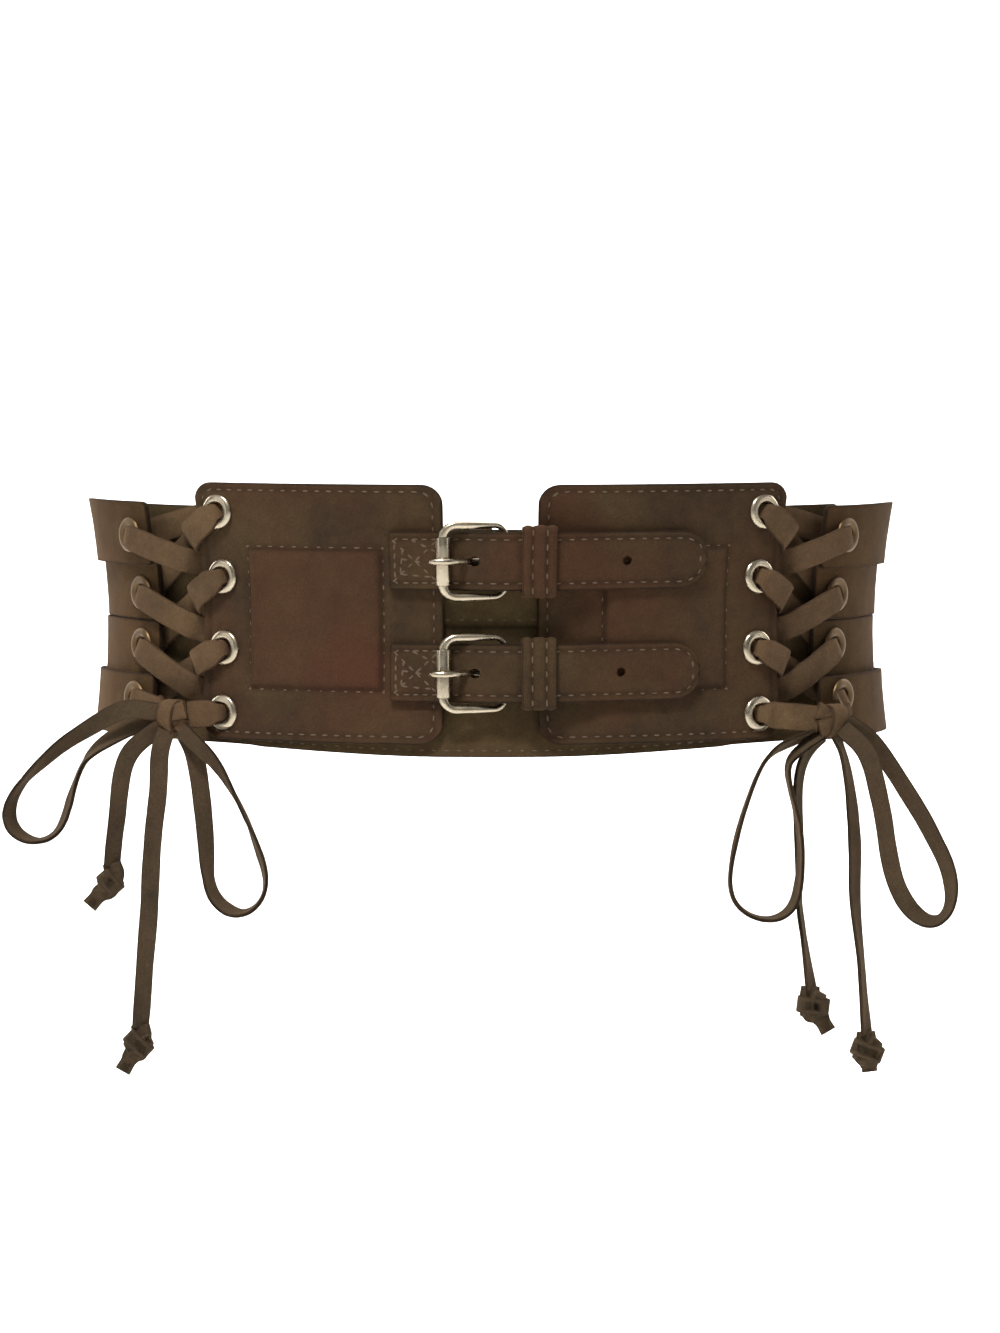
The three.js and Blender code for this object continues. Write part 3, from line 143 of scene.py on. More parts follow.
# Buckled straps
ROWS = [
    {"name": "upper", "z": 22, "punched_u": 41.7, "tip_u": 68.2},
    {"name": "lower", "z": -13.8, "punched_u": 40.2, "tip_u": 66.4},
]
BILLET_START_BEFORE_EDGE = 16.5
BILLET_WIDTH = 18.8
BILLET_TIP_LENGTH = 8.5
BILLET_TIP_BLUNT = 0.2
BILLET_START_CORNER = 1.2
PUNCHED_HOLE_RADIUS = 1.5
BUCKLE_ROD_RADIUS = 1.5
BUCKLE_SIDE_CLEARANCE = 0.6
BUCKLE_LENGTH = 22.6
BUCKLE_FRONT_BEND = 4.2
BUCKLE_HEEL_BEND = 3.6
BUCKLE_ARM_RADIUS = 1.3
BUCKLE_ARM_END_RADIUS = 0.9
ROLLER_RADIUS = 2.5
ROLLER_LOOK_RADIUS = 2.2
ROLLER_LENGTH = 15.4
ROLLER_OVERHANG = 2.1
PRONG_RADIUS = 1.05
PRONG_EYE_RADIUS = 3
PRONG_EYE_WIDTH = 3
PRONG_OVERHANG = 0.8
KEEPER_WIDTH = 9.6
KEEPER_AFTER_HEEL = 5.1
CHAPE_WIDTH = 18.2
CHAPE_TAB = 8
# The prong from the heel bar to its tip: share of the way, share of the rise, and share of its radius
PRONG_ROUTE = [
    (0.12, 0, 1), (0.28, 0, 1), (0.4, 0.03, 1), (0.47, 0.12, 1), (0.54, 0.32, 1), (0.62, 0.56, 1),
    (0.7, 0.79, 1.05), (0.79, 0.97, 1.1), (0.9, 1, 1.05), (0.97, 0.97, 0.9), (1, 0.92, 0.62),
]

# Bows: half sizes of the knots along the waist, outward and up, and how boxy the bow's knot is
BOW_KNOT = (7.8, 4, 5.2)
TAIL_KNOT = (4.3, 3.6, 5)
KNOT_POWER = 2.5

# Routes of the free thongs from the middle of the bow's knot: x, y, z and the turn in degrees
FREE_THONGS = {
    "left_outer_loop": [
        (-9, -2, 2.4, 80), (-14, -1.6, 2.6, 86), (-20.5, -1, 0, 80), (-28, 0, -4.5, 62), (-36, 1, -9.5, 45),
        (-43, 1.5, -15.5, 30), (-48.5, 2, -21, 16), (-52.5, 2, -27, 24), (-54, 2, -32.5, 36),
        (-52.5, 2, -37.5, 36), (-48.5, 1.5, -40.5, 24), (-43.5, 1, -41.5, 6), (-38.5, 1, -39.3, 10),
        (-35.5, 1, -34.5, 20), (-33.5, 1.5, -28, 24), (-31.5, 2, -21.5, 12), (-29, 2.5, -15.5, 6),
        (-25, 3, -11, 26), (-20, 3.2, -7.6, 44), (-15, 3.2, -4.6, 60), (-9.8, 3, -2.2, 72),
    ],
    "left_inner_loop": [
        (5.2, -1, -7.2, 84), (6.6, -2.2, -10, 86), (8.4, -3, -17, 86), (9.5, -3.2, -25, 82),
        (10.5, -3.4, -35, 70), (11, -3.6, -43, 56), (11.5, -3.8, -52.5, 30), (13.5, -4, -59, 34),
        (18, -4.2, -63.4, 28), (23, -4.4, -64.8, 8), (27.5, -4.6, -62.4, 4), (30.4, -4.8, -57.5, 6),
        (30.6, -5, -51.5, 14), (29, -5.4, -45.5, 20), (27, -5.8, -39.5, 16), (24.5, -6.2, -33, 4),
        (21, -6.8, -26, 8), (17.5, -7.4, -19.5, 20), (14.2, -8.2, -14.4, 38), (10.8, -9, -10.8, 56),
        (5.4, -7.6, -6.6, 66),
    ],
    "left_short_tail": [
        (-6.6, -1.8, -6, 70), (-10, -1.6, -8, 74), (-13.6, -1.2, -11.4, 76), (-16, -1, -17, 76),
        (-17.2, -0.6, -24, 74), (-18, -0.4, -32, 66), (-19.4, -0.2, -42, 58), (-20, 0, -49.2, 52),
    ],
    "left_long_tail": [
        (-2.6, -3.2, -6.6, 86), (-3.8, -3.4, -11, 88), (-4.4, -3.4, -24, 86), (-6, -3.2, -37, 84),
        (-7, -3, -50, 82), (-7.6, -2.8, -63, 78), (-9, -2.6, -79, 72), (-10, -2.4, -93, 64),
        (-10.8, -2.4, -102, 56),
    ],
    "right_inner_loop": [
        (-8.6, -4.4, -4.8, 20), (-12.6, -7.4, -6, 26), (-17.2, -9.6, -7.6, 22), (-21.2, -10, -10.8, 8),
        (-24.8, -10.6, -17, 2), (-28.3, -10, -26.5, 0), (-31.3, -9.6, -36.5, 0), (-33.2, -9.4, -47, 0),
        (-33.4, -9.2, -54.5, 0), (-31.3, -9, -59.8, 0), (-26.8, -9, -63.2, 2), (-21.3, -9, -64.6, 4),
        (-16.3, -9.2, -63.4, 12), (-12.8, -9.4, -60, 18), (-11.2, -9.6, -54.5, 20), (-10.2, -9.8, -46, 14),
        (-10.4, -10, -37.5, 8), (-12.2, -10, -28, 6), (-14.2, -10, -20, 6), (-14.8, -9.6, -13, 10),
        (-11.4, -9, -9.6, 24), (-6.8, -6, -7.4, 34),
    ],
    "right_first_tail": [
        (-4, 0.4, -6.6, 40), (-7.6, -0.6, -9.6, 34), (-10.2, -1.6, -15, 30), (-11.2, -2, -24, 28),
        (-10.9, -2.2, -35.5, 26), (-10.8, -2.2, -49, 20), (-10.6, -2.2, -60.5, 12), (-9.3, -2.4, -70, 12),
        (-7.8, -2.8, -80, 24), (-6.6, -2.6, -88, 34),
    ],
    "right_second_tail": [
        (1.6, -1.2, -6.4, 28), (3.2, -1.4, -9.6, 20), (5, -1.8, -17, 26), (6.6, -2.2, -28, 34),
        (7.4, -2.4, -41, 40), (7.4, -2.4, -54.5, 38), (8.2, -2.2, -66, 26), (9.7, -2, -79, 20),
        (10.7, -1.8, -92, 24), (11.6, -1.8, -103, 30),
    ],
    "right_outer_loop": [
        (7, -5.4, -5, 74), (10.4, -6, -9, 80), (12.9, -6.2, -15, 86), (14.7, -6, -22.5, 88),
        (16.6, -5.6, -31, 88), (18.2, -5.2, -42, 86), (20.2, -4.8, -51, 80), (23.2, -4.4, -58, 72),
        (27.2, -4, -63.2, 58), (31.9, -3.4, -66, 38), (36.6, -2.8, -65, 18), (39.2, -2.2, -60, 26),
        (39.3, -1.8, -53.5, 42), (37.6, -1.4, -46.5, 52), (34.2, -1, -39.5, 56), (30.2, -0.8, -32, 60),
        (25.2, -0.6, -24, 62), (20.4, -0.6, -16.5, 66), (16.2, -0.8, -10.4, 70), (12.2, -1, -5.2, 72),
        (8.9, -1.4, -1, 74),
    ],
}
# Each tail's end: the way its cut end points along x and z, how far it stands out, and the knot's girth
TAIL_ENDS = {
    "left_short_tail": (-0.66, -0.75, 5.5, 1),
    "left_long_tail": (-0.5, -0.86, 5.5, 1.12),
    "right_first_tail": (0.5, -0.86, 5, 1.24),
    "right_second_tail": (0.12, -0.99, 2, 1.24),
}

# Stitching
STITCH_PITCH = 4
BOX_STITCH_PITCH = 3
STITCH_LENGTH = 2.3
STITCH_WIDTH = 0.72
STITCH_HEIGHT = 0.55
STITCH_SUNK = 0.12
STITCH_LINE_STEP = 0.6

# Sizes that follow from the ones above
BASE_OUT = BASE_THICKNESS
PANEL_IN = BASE_OUT + GAP
PANEL_OUT = PANEL_IN + PANEL_THICKNESS
PANEL_INNER_U = PANEL_SPACING / 2
PANEL_OUTER_U = PANEL_INNER_U + PANEL_WIDTH
PANEL_TOP_Z = PANEL_BOTTOM_Z + PANEL_HEIGHT
EYELET_RADIUS = EYELET_HOLE_RADIUS + EYELET_BAND
LEATHER_HOLE_RADIUS = EYELET_HOLE_RADIUS + EYELET_WALL + GAP
BEHIND_LIFT = PANEL_IN - GAP - EYELET_BACK_RISE - GAP - THONG_THICKNESS / 2
BASE_END_DROP = BASE_OUT - (BEHIND_LIFT - THONG_THICKNESS / 2 - LACE_ROOM)
OUTER_STRAP_IN = PANEL_IN + STRAP_STAGGER + STRAP_THICKNESS + GAP
FRONT_BAR_U = -PANEL_INNER_U - ROLLER_OVERHANG + ROLLER_RADIUS
HEEL_BAR_U = FRONT_BAR_U - ROLLER_RADIUS + BUCKLE_LENGTH - BUCKLE_ROD_RADIUS
CHAPE_BEND_RADIUS = BUCKLE_ROD_RADIUS + GAP + CHAPE_THICKNESS / 2
HEEL_LIFT = BASE_OUT + GAP + CHAPE_THICKNESS + GAP + BUCKLE_ROD_RADIUS
BILLET_ON_PANEL = PANEL_OUT + GAP
FRONT_BAR_LIFT = BILLET_ON_PANEL + BILLET_THICKNESS + GAP + ROLLER_RADIUS
KEEPER_IN = PANEL_OUT + GAP
CHAPE_OVER_KEEPER = KEEPER_IN + KEEPER_THICKNESS + GAP
BILLET_OVER_KEEPER = CHAPE_OVER_KEEPER + CHAPE_THICKNESS + GAP
BILLET_OVER_HEEL = HEEL_LIFT + BUCKLE_ROD_RADIUS + GAP + CHAPE_THICKNESS + GAP
KEEPER_U = HEEL_BAR_U + KEEPER_AFTER_HEEL + KEEPER_WIDTH / 2
KEEPER_END_U = KEEPER_U + KEEPER_WIDTH / 2
PRONG_REST_LIFT = FRONT_BAR_LIFT + ROLLER_LOOK_RADIUS + GAP + PRONG_RADIUS
PRONG_TIP_U = FRONT_BAR_U - ROLLER_RADIUS - PRONG_OVERHANG

# The waist's arcs
FRONT_ARC_RADIUS = (
    (WAIST_HALF_WIDTH - SIDE_ARC_RADIUS) ** 2 + WAIST_HALF_DEPTH**2 - SIDE_ARC_RADIUS**2
) / (2 * (WAIST_HALF_DEPTH - SIDE_ARC_RADIUS))
ARC_TURN = math.atan((WAIST_HALF_WIDTH - SIDE_ARC_RADIUS) / (FRONT_ARC_RADIUS - WAIST_HALF_DEPTH))
FRONT_ARC_LENGTH = FRONT_ARC_RADIUS * ARC_TURN
SIDE_ARC_LENGTH = SIDE_ARC_RADIUS * (math.pi - 2 * ARC_TURN)
HALF_GIRTH = 2 * FRONT_ARC_LENGTH + SIDE_ARC_LENGTH


def mix(a, b, share):
    return a + (b - a) * share


def smoothstep(low, high, value):
    share = min(1.0, max(0.0, (value - low) / (high - low)))
    return share * share * (3 - 2 * share)


def waist_point(u, z, lift):
    """The place in metres of a spot on the waist form."""
    past = u - 2 * HALF_GIRTH if u > HALF_GIRTH else u
    side = -1 if past < 0 else 1
    along = abs(past)
    out = lift + FLARE_OUT * ((z - NARROWEST_Z) / FLARE_RISE) ** 2
    arc_centre_y = FRONT_ARC_RADIUS - WAIST_HALF_DEPTH
    if along <= FRONT_ARC_LENGTH:
        turn = along / FRONT_ARC_RADIUS
        radius = FRONT_ARC_RADIUS + out
        x, y = radius * math.sin(turn), arc_centre_y - radius * math.cos(turn)
    elif along <= FRONT_ARC_LENGTH + SIDE_ARC_LENGTH:
        turn = ARC_TURN + (along - FRONT_ARC_LENGTH) / SIDE_ARC_RADIUS
        radius = SIDE_ARC_RADIUS + out
        x, y = WAIST_HALF_WIDTH - SIDE_ARC_RADIUS + radius * math.sin(turn), -radius * math.cos(turn)
    else:
        turn = math.pi - ARC_TURN + (along - FRONT_ARC_LENGTH - SIDE_ARC_LENGTH) / FRONT_ARC_RADIUS
        radius = FRONT_ARC_RADIUS + out
        x, y = radius * math.sin(turn), -arc_centre_y - radius * math.cos(turn)
    return Vector((side * x, y, z)) * MM


def bend(flat):
    return waist_point(flat.x, flat.z, flat.y)


def outward(u, z, lift):
    return (waist_point(u, z, lift + 1) - waist_point(u, z, lift)).normalized()


def uneven(x, y, z, size):
    """Smooth noise from -1 to 1 with features of a given size in millimetres."""
    return noise.noise(Vector((x, y, z)) / size)


def swell(distance, reach):
    """A smooth swelling of height 1 that is nearly gone at twice its reach."""
    return math.exp(-((distance / reach) ** 2))


def new_object(name, data):
    made = bpy.data.objects.new(name, data)
    bpy.context.scene.collection.objects.link(made)
    return made


# Camera, at the photograph's angle: level with the front and a little above
CAMERA_TARGET = Vector((3, 0, -18.3)) * MM
CAMERA_DISTANCE = 1.7
CAMERA_ELEVATION = math.radians(3.8)
VIEW_HEIGHT = 0.4519
SENSOR = 24


def make_camera():
    data = bpy.data.cameras.new("camera")
    camera = new_object("camera", data)
    back = Vector((0, -math.cos(CAMERA_ELEVATION), math.sin(CAMERA_ELEVATION)))
    camera.location = CAMERA_TARGET + back * CAMERA_DISTANCE
    camera.rotation_euler = (math.pi / 2 - CAMERA_ELEVATION, 0, 0)
    data.sensor_fit = "VERTICAL"
    data.sensor_height = SENSOR
    data.lens = SENSOR * CAMERA_DISTANCE / VIEW_HEIGHT
    data.clip_end = 30
    bpy.context.scene.camera = camera
    bpy.context.scene.view_settings.view_transform = "Standard"


make_camera()


# Materials: the sizes of their patterns. Fibres and plies are drawn coarser than real ones, so that they show
BRUSHED_PATCH = 24
CAST_PATCH = 37
NAP_MOTTLE = 4
NAP_FIBRE = 0.7
POLISH_CLOUD = 4
WEAR_MARK = 1.2
PLY_SPACING = 1.78
BAND_PERIOD = 0.628
THREAD_SHADE = 9
PAINT_PATCH = 30


def colour(hex_code):
    """An sRGB hex value as linear red, green and blue."""
    channels = [int(hex_code[i : i + 2], 16) / 255 for i in (1, 3, 5)]
    linear = [c / 12.92 if c <= 0.04045 else ((c + 0.055) / 1.055) ** 2.4 for c in channels]
    return (*linear, 1.0)


def add_node(tree, kind, settings=(), **inputs):
    """Adds a node. Inputs are values or sockets to link, keyed by index or by name with _ for a space."""
    made = tree.nodes.new(kind)
    for key, value in dict(settings).items():
        setattr(made, key, value)
    for key, value in inputs.items():
        place = int(key[1:]) if key[1:].isdigit() else key.replace("_", " ")
        socket = made.inputs[place]
        if isinstance(value, bpy.types.NodeSocket):
            tree.links.new(value, socket)
        else:
            socket.default_value = value
    return made


def size_of(millimetres):
    """The scale at which a texture's features have that size, with coordinates in metres."""
    return 1000 / millimetres


def new_material(name):
    material = bpy.data.materials.new(name)
    material.use_nodes = True
    tree = material.node_tree
    tree.nodes.clear()
    return material, tree


def suede(name, deep, pale, cast, dye_and_shade_colour, nap=1.0):
    """Split leather with a raised nap: dull, in light and dark patches where it was brushed and with a redder
    or greener cast from place to place, fine fibres, dyed cut edges, and shade painted into the seams."""
    material, tree = new_material(name)
    place = add_node(tree, "ShaderNodeTexCoord").outputs["Object"]
    brushed, casts, mottle, fibres = (
        add_node(
            tree, "ShaderNodeTexNoise", Vector=place, Scale=size_of(size), Detail=detail, Roughness=rough,
        )
        for size, detail, rough in (
            (BRUSHED_PATCH, 3.0, 0.55), (CAST_PATCH, 2.0, 0.5), (NAP_MOTTLE, 4.0, 0.6), (NAP_FIBRE, 3.0, 0.7),
        )
    )
    patches = add_node(
        tree, "ShaderNodeMapRange",
        Value=brushed.outputs["Fac"], From_Min=0.36, From_Max=0.64, To_Max=0.62,
    )
    grain = add_node(
        tree, "ShaderNodeMapRange", Value=mottle.outputs["Fac"], From_Min=0.3, From_Max=0.7, To_Max=0.38,
    )
    blend = add_node(
        tree, "ShaderNodeMath", {"operation": "ADD"}, i0=patches.outputs[0], i1=grain.outputs[0],
    )
    cloth = add_node(
        tree, "ShaderNodeMix", {"data_type": "RGBA"},
        i0=blend.outputs[0], i6=colour(deep), i7=colour(pale),
    )
    cast_share = add_node(
        tree, "ShaderNodeMapRange", Value=casts.outputs["Fac"], From_Min=0.45, From_Max=0.68, To_Max=0.5,
    )
    warm = add_node(tree, "ShaderNodeAttribute", {"attribute_name": "warm"})
    cast_here = add_node(
        tree, "ShaderNodeMath", {"operation": "MULTIPLY_ADD", "use_clamp": True},
        i0=warm.outputs["Fac"], i1=0.4, i2=cast_share.outputs[0],
    )
    toned = add_node(
        tree, "ShaderNodeMix", {"data_type": "RGBA"},
        i0=cast_here.outputs[0], i6=cloth.outputs[2], i7=colour(cast),
    )
    fleck = add_node(
        tree, "ShaderNodeMapRange", Value=fibres.outputs["Fac"], From_Min=0.3, From_Max=0.7,
        To_Min=0.82, To_Max=1.16,
    )
    flecked = add_node(
        tree, "ShaderNodeVectorMath", {"operation": "SCALE"},
        i0=toned.outputs[2], Scale=fleck.outputs[0],
    )
    # The cut attribute darkens the colour: dyed cut edges, and shade painted into seams and grooves
    edge = add_node(tree, "ShaderNodeAttribute", {"attribute_name": "cut"})
    dyed_and_shaded = add_node(
        tree, "ShaderNodeMix", {"data_type": "RGBA"},
        i0=edge.outputs["Fac"], i6=flecked.outputs[0], i7=colour(dye_and_shade_colour),
    )
    nap_height = add_node(
        tree, "ShaderNodeMath", {"operation": "MULTIPLY_ADD"},
        i0=mottle.outputs["Fac"], i1=0.8, i2=fibres.outputs["Fac"],
    )
    bump = add_node(
        tree, "ShaderNodeBump", Height=nap_height.outputs[0], Strength=0.5 * nap, Distance=0.4 * MM,
    )
    shader = add_node(
        tree, "ShaderNodeBsdfPrincipled", Base_Color=dyed_and_shaded.outputs[2], Roughness=0.95,
        Specular_IOR_Level=0.1, Sheen_Weight=0.12, Sheen_Roughness=0.45,
        Sheen_Tint=colour("#b98f66"), Normal=bump.outputs[0],
    )
    add_node(tree, "ShaderNodeOutputMaterial", Surface=shader.outputs[0])
    return material


def plated_metal(name, dark, pale, smoothest, roughest):
    """Plated steel: warm metal colour, with faint polishing clouds in its gloss and fine wear marks."""
    material, tree = new_material(name)
    place = add_node(tree, "ShaderNodeTexCoord").outputs["Object"]
    clouds = add_node(tree, "ShaderNodeTexNoise", Vector=place, Scale=size_of(POLISH_CLOUD), Detail=3.0)
    gloss = add_node(
        tree, "ShaderNodeMapRange", Value=clouds.outputs["Fac"], From_Min=0.3, From_Max=0.7,
        To_Min=smoothest, To_Max=roughest,
    )
    wear = add_node(tree, "ShaderNodeTexNoise", Vector=place, Scale=size_of(WEAR_MARK), Detail=4.0)
    bump = add_node(tree, "ShaderNodeBump", Height=wear.outputs["Fac"], Strength=0.06, Distance=0.1 * MM)
    tint = add_node(
        tree, "ShaderNodeMix", {"data_type": "RGBA"},
        i0=clouds.outputs["Fac"], i6=colour(dark), i7=colour(pale),
    )
    shader = add_node(
        tree, "ShaderNodeBsdfPrincipled", Base_Color=tint.outputs[2], Metallic=1.0,
        Roughness=gloss.outputs[0], Normal=bump.outputs[0],
    )
    add_node(tree, "ShaderNodeOutputMaterial", Surface=shader.outputs[0])
    return material


def waxed_thread(name):
    """Twisted polyester sewing thread, lightly waxed: tan, with fine slanting plies."""
    material, tree = new_material(name)
    place = add_node(tree, "ShaderNodeTexCoord").outputs["Object"]
    plies = add_node(
        tree, "ShaderNodeTexWave", {"bands_direction": "DIAGONAL"},
        Vector=place, Scale=size_of(PLY_SPACING) * BAND_PERIOD, Distortion=0.6,
    )
    shade = add_node(tree, "ShaderNodeTexNoise", Vector=place, Scale=size_of(THREAD_SHADE), Detail=2.0)
    tint = add_node(
        tree, "ShaderNodeMix", {"data_type": "RGBA"},
        i0=shade.outputs["Fac"], i6=colour("#403326"), i7=colour("#64513e"),
    )
    bump = add_node(tree, "ShaderNodeBump", Height=plies.outputs["Fac"], Strength=0.4, Distance=0.12 * MM)
    shader = add_node(
        tree, "ShaderNodeBsdfPrincipled", Base_Color=tint.outputs[2], Roughness=0.7,
        Specular_IOR_Level=0.3, Normal=bump.outputs[0],
    )
    add_node(tree, "ShaderNodeOutputMaterial", Surface=shader.outputs[0])
    return material


def matt_paint(name, tint):
    """Matt painted studio board, slightly uneven."""
    material, tree = new_material(name)
    place = add_node(tree, "ShaderNodeTexCoord").outputs["Object"]
    rolled = add_node(tree, "ShaderNodeTexNoise", Vector=place, Scale=size_of(PAINT_PATCH), Detail=2.0)
    tone = add_node(
        tree, "ShaderNodeMix", {"data_type": "RGBA"},
        i0=rolled.outputs["Fac"], i6=colour(tint), i7=colour("#ffffff"),
    )
    shader = add_node(tree, "ShaderNodeBsdfPrincipled", Base_Color=tone.outputs[2], Roughness=0.9)
    add_node(tree, "ShaderNodeOutputMaterial", Surface=shader.outputs[0])
    return material


PANEL_SUEDE = suede("dark brown split suede", "#2f241a", "#423321", "#43291c", "#19110b")
STRAP_SUEDE = suede("brown strap suede", "#302212", "#44321c", "#402b19", "#1f150d")
BASE_SUEDE = suede("olive brown base suede", "#3b2f1e", "#4e412a", "#4b3825", "#1a140c")
THONG_SUEDE = suede("brown suede thong", "#342b20", "#483b2b", "#423326", "#21170f", nap=0.8)
# The lacing and the bows' knots are the same thong as the loops and tails, in a lighter copy of its suede:
# painted light against the shade in the laced gap
THONG_SUEDE_PAINTED_LIGHTER = suede("brown suede thong painted lighter for the shaded lacing", "#433425", "#594631", "#503c2b", "#21170f", nap=0.8)
THREAD = waxed_thread("tan waxed thread")
NICKEL = plated_metal("polished nickel plate", "#9c8f79", "#bfb39d", 0.2, 0.34)
# The strap eyelets take a darker, browner plate than the panel eyelets
DARKER_BROWN_PLATE = plated_metal("darker brown plate", "#54432f", "#6b573f", 0.42, 0.58)


# Meshes
SPLINE_CUTS = 16
RING_CUTS = 32


def shade_smooth(mesh, sharp):
    mesh.polygons.foreach_set("use_smooth", [True] * len(mesh.polygons))
    mesh.set_sharp_from_angle(angle=math.radians(sharp))


def make_object(name, vertices, faces, material, cut=None, sharp=50):
    """A smooth-shaded object with its faces out and the share of dyed cut edge and painted shade at each
    vertex.
    """
    mesh = bpy.data.meshes.new(name)
    mesh.from_pydata([tuple(v) for v in vertices], [], faces)
    # The cut attribute holds dyed cut edges and painted shade
    if cut is not None:
        attribute = mesh.attributes.new("cut", "FLOAT", "POINT")
        attribute.data.foreach_set("value", cut)
    body = bmesh.new()
    body.from_mesh(mesh)
    bmesh.ops.recalc_face_normals(body, faces=body.faces)
    if body.calc_volume(signed=True) < 0:
        bmesh.ops.reverse_faces(body, faces=body.faces)
    body.to_mesh(mesh)
    body.free()
    mesh.materials.append(material)
    shade_smooth(mesh, sharp)
    return new_object(name, mesh)


def settle(piece, slot, *nodes):
    """Every piece rides on the belt's one body and stands for its solids; the slot it is given is not used.
    """
    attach(piece, "root")
    if nodes:
        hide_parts(*nodes)
    return piece


def loft(rings, closed=False):
    """Faces between rings of equally many points, capped at both ends unless closed."""
    count = len(rings[0])
    vertices = [point for ring in rings for point in ring]
    faces = []
    for i in range(len(rings) if closed else len(rings) - 1):
        here = i * count
        there = ((i + 1) % len(rings)) * count
        for j in range(count):
            k = (j + 1) % count
            faces.append((here + j, there + j, there + k, here + k))
    if not closed:
        last = (len(rings) - 1) * count
        faces.append(tuple(reversed(range(count))))
        faces.append(tuple(last + j for j in range(count)))
    return vertices, faces


def band_section(width, thickness, corner):
    """The outline of a flat band with rounded corners, and how much of each point is cut edge."""
    half_w = width / 2
    half_t = thickness / 2
    corner = min(corner, half_t * 0.95)
    points = []
    for quarter, (sx, sy) in enumerate([(1, 1), (-1, 1), (-1, -1), (1, -1)]):
        for step in range(3):
            turn = math.pi / 2 * (quarter + step / 2)
            x = sx * (half_w - corner) + corner * math.cos(turn)
            y = sy * (half_t - corner) + corner * math.sin(turn)
            points.append((x, y))
    middles = [(half_w * share, half_t) for share in (0.5, 0, -0.5)]
    points[3:3] = middles
    points[9:9] = [(-x, -y) for x, y in middles]
    dye_and_shade_shares = [1.0 if abs(x) > half_w - corner * 1.01 and abs(y) < half_t * 0.999 else 0.0 for x, y in points]
    return points, dye_and_shade_shares


def sweep(stations, corner, closed=False, flat=True):
    """A band through stations of (middle, across, width, thickness), bent round the waist if flat."""
    rings = []
    dye_and_shade_shares = []
    count = len(stations)
    for i, (middle, across, width, thickness) in enumerate(stations):
        before = stations[i - 1 if i or closed else 0][0]
        after = stations[(i + 1) % count if closed else min(i + 1, count - 1)][0]
        tangent = (after - before).normalized()
        side = (across - tangent * across.dot(tangent)).normalized()
        normal = tangent.cross(side)
        section, cut = band_section(width, thickness, corner)
        ring = [middle + side * x + normal * y for x, y in section]
        rings.append([bend(point) for point in ring] if flat else ring)
        dye_and_shade_shares.extend(cut)
    vertices, faces = loft(rings, closed)
    return vertices, faces, dye_and_shade_shares


def join_parts(name, parts, material, dye=1.0):
    """One object of several shells, with a share of the dye that their cut edges took."""
    vertices = []
    faces = []
    dye_and_shade_shares = []
    for part_vertices, part_faces, part_cuts in parts:
        start = len(vertices)
        vertices.extend(part_vertices)
        faces.extend(tuple(start + i for i in face) for face in part_faces)
        dye_and_shade_shares.extend(dye * share for share in part_cuts)
    return make_object(name, vertices, faces, material, dye_and_shade_shares)


def spline(points, step):
    """Evenly spaced points on a centripetal curve through points, with each one's place among them."""
    ends = [points[0] * 2 - points[1], *points, points[-1] * 2 - points[-2]]
    dense = []
    for i in range(1, len(ends) - 2):
        p0, p1, p2, p3 = ends[i - 1 : i + 3]
        d0, d1, d2 = (max(1e-6, (b - a).length ** 0.5) for a, b in ((p0, p1), (p1, p2), (p2, p3)))
        m1 = ((p1 - p0) / d0 - (p2 - p0) / (d0 + d1) + (p2 - p1) / d1) * d1
        m2 = ((p2 - p1) / d1 - (p3 - p1) / (d1 + d2) + (p3 - p2) / d2) * d1
        for k in range(SPLINE_CUTS):
            t = k / SPLINE_CUTS
            h = (2 * t**3 - 3 * t**2 + 1, t**3 - 2 * t**2 + t, -2 * t**3 + 3 * t**2, t**3 - t**2)
            dense.append((p1 * h[0] + m1 * h[1] + p2 * h[2] + m2 * h[3], i - 1 + t))
    dense.append((points[-1], len(points) - 1))
    lengths = [0.0]
    for (a, _), (b, _) in zip(dense, dense[1:]):
        lengths.append(lengths[-1] + (b - a).length)
    count = max(2, round(lengths[-1] / step))
    result = []
    j = 0
    for i in range(count + 1):
        want = lengths[-1] * i / count
        while j < len(dense) - 2 and lengths[j + 1] < want:
            j += 1
        share = (want - lengths[j]) / max(1e-12, lengths[j + 1] - lengths[j])
        share = min(1.0, max(0.0, share))
        result.append((dense[j][0].lerp(dense[j + 1][0], share), mix(dense[j][1], dense[j + 1][1], share)))
    return result


def knot_reach(along, out, up):
    """How far the bow's knot reaches from its middle in a direction."""
    shares = [along / BOW_KNOT[0], out / BOW_KNOT[1], up / BOW_KNOT[2]]
    return sum(abs(share) ** KNOT_POWER for share in shares) ** (-1 / KNOT_POWER)


def bow_centre(side):
    """The middle of the bow's knot as u, z and lift."""
    u = side["sign"] * (PANEL_OUTER_U + side["laced_gap"] / 2 + side["bow_offset"])
    return u, side["bow_z"], side["bow_lift"]


def bow_axes(side):
    """The knot's middle in metres, and its directions along the waist and outward."""
    u, z, lift = bow_centre(side)
    middle = waist_point(u, z, lift)
    along = (waist_point(u + 1, z, lift) - middle).normalized()
    return middle, along, outward(u, z, lift)


def seat_on_knot(point, side):
    middle, along, out = bow_axes(side)
    way = (point - middle).normalized()
    return middle + way * (knot_reach(way.dot(along), way.dot(out), way.z) + GAP) * MM


# Free thongs: two loops and two tails at each bow
RING_STEP = 1.1
THONG_EDGE_DYE = 0.45
THONG_EDGE_ROUND = 0.4
THONG_WANDER = 5
THONG_WIDTH_VARIES = 0.05
THONG_CUP = 0.35
THONG_CUP_VARIES = 0.3
THONG_CUP_MIDDLE = 0.33
EASING_ROUNDS = 10

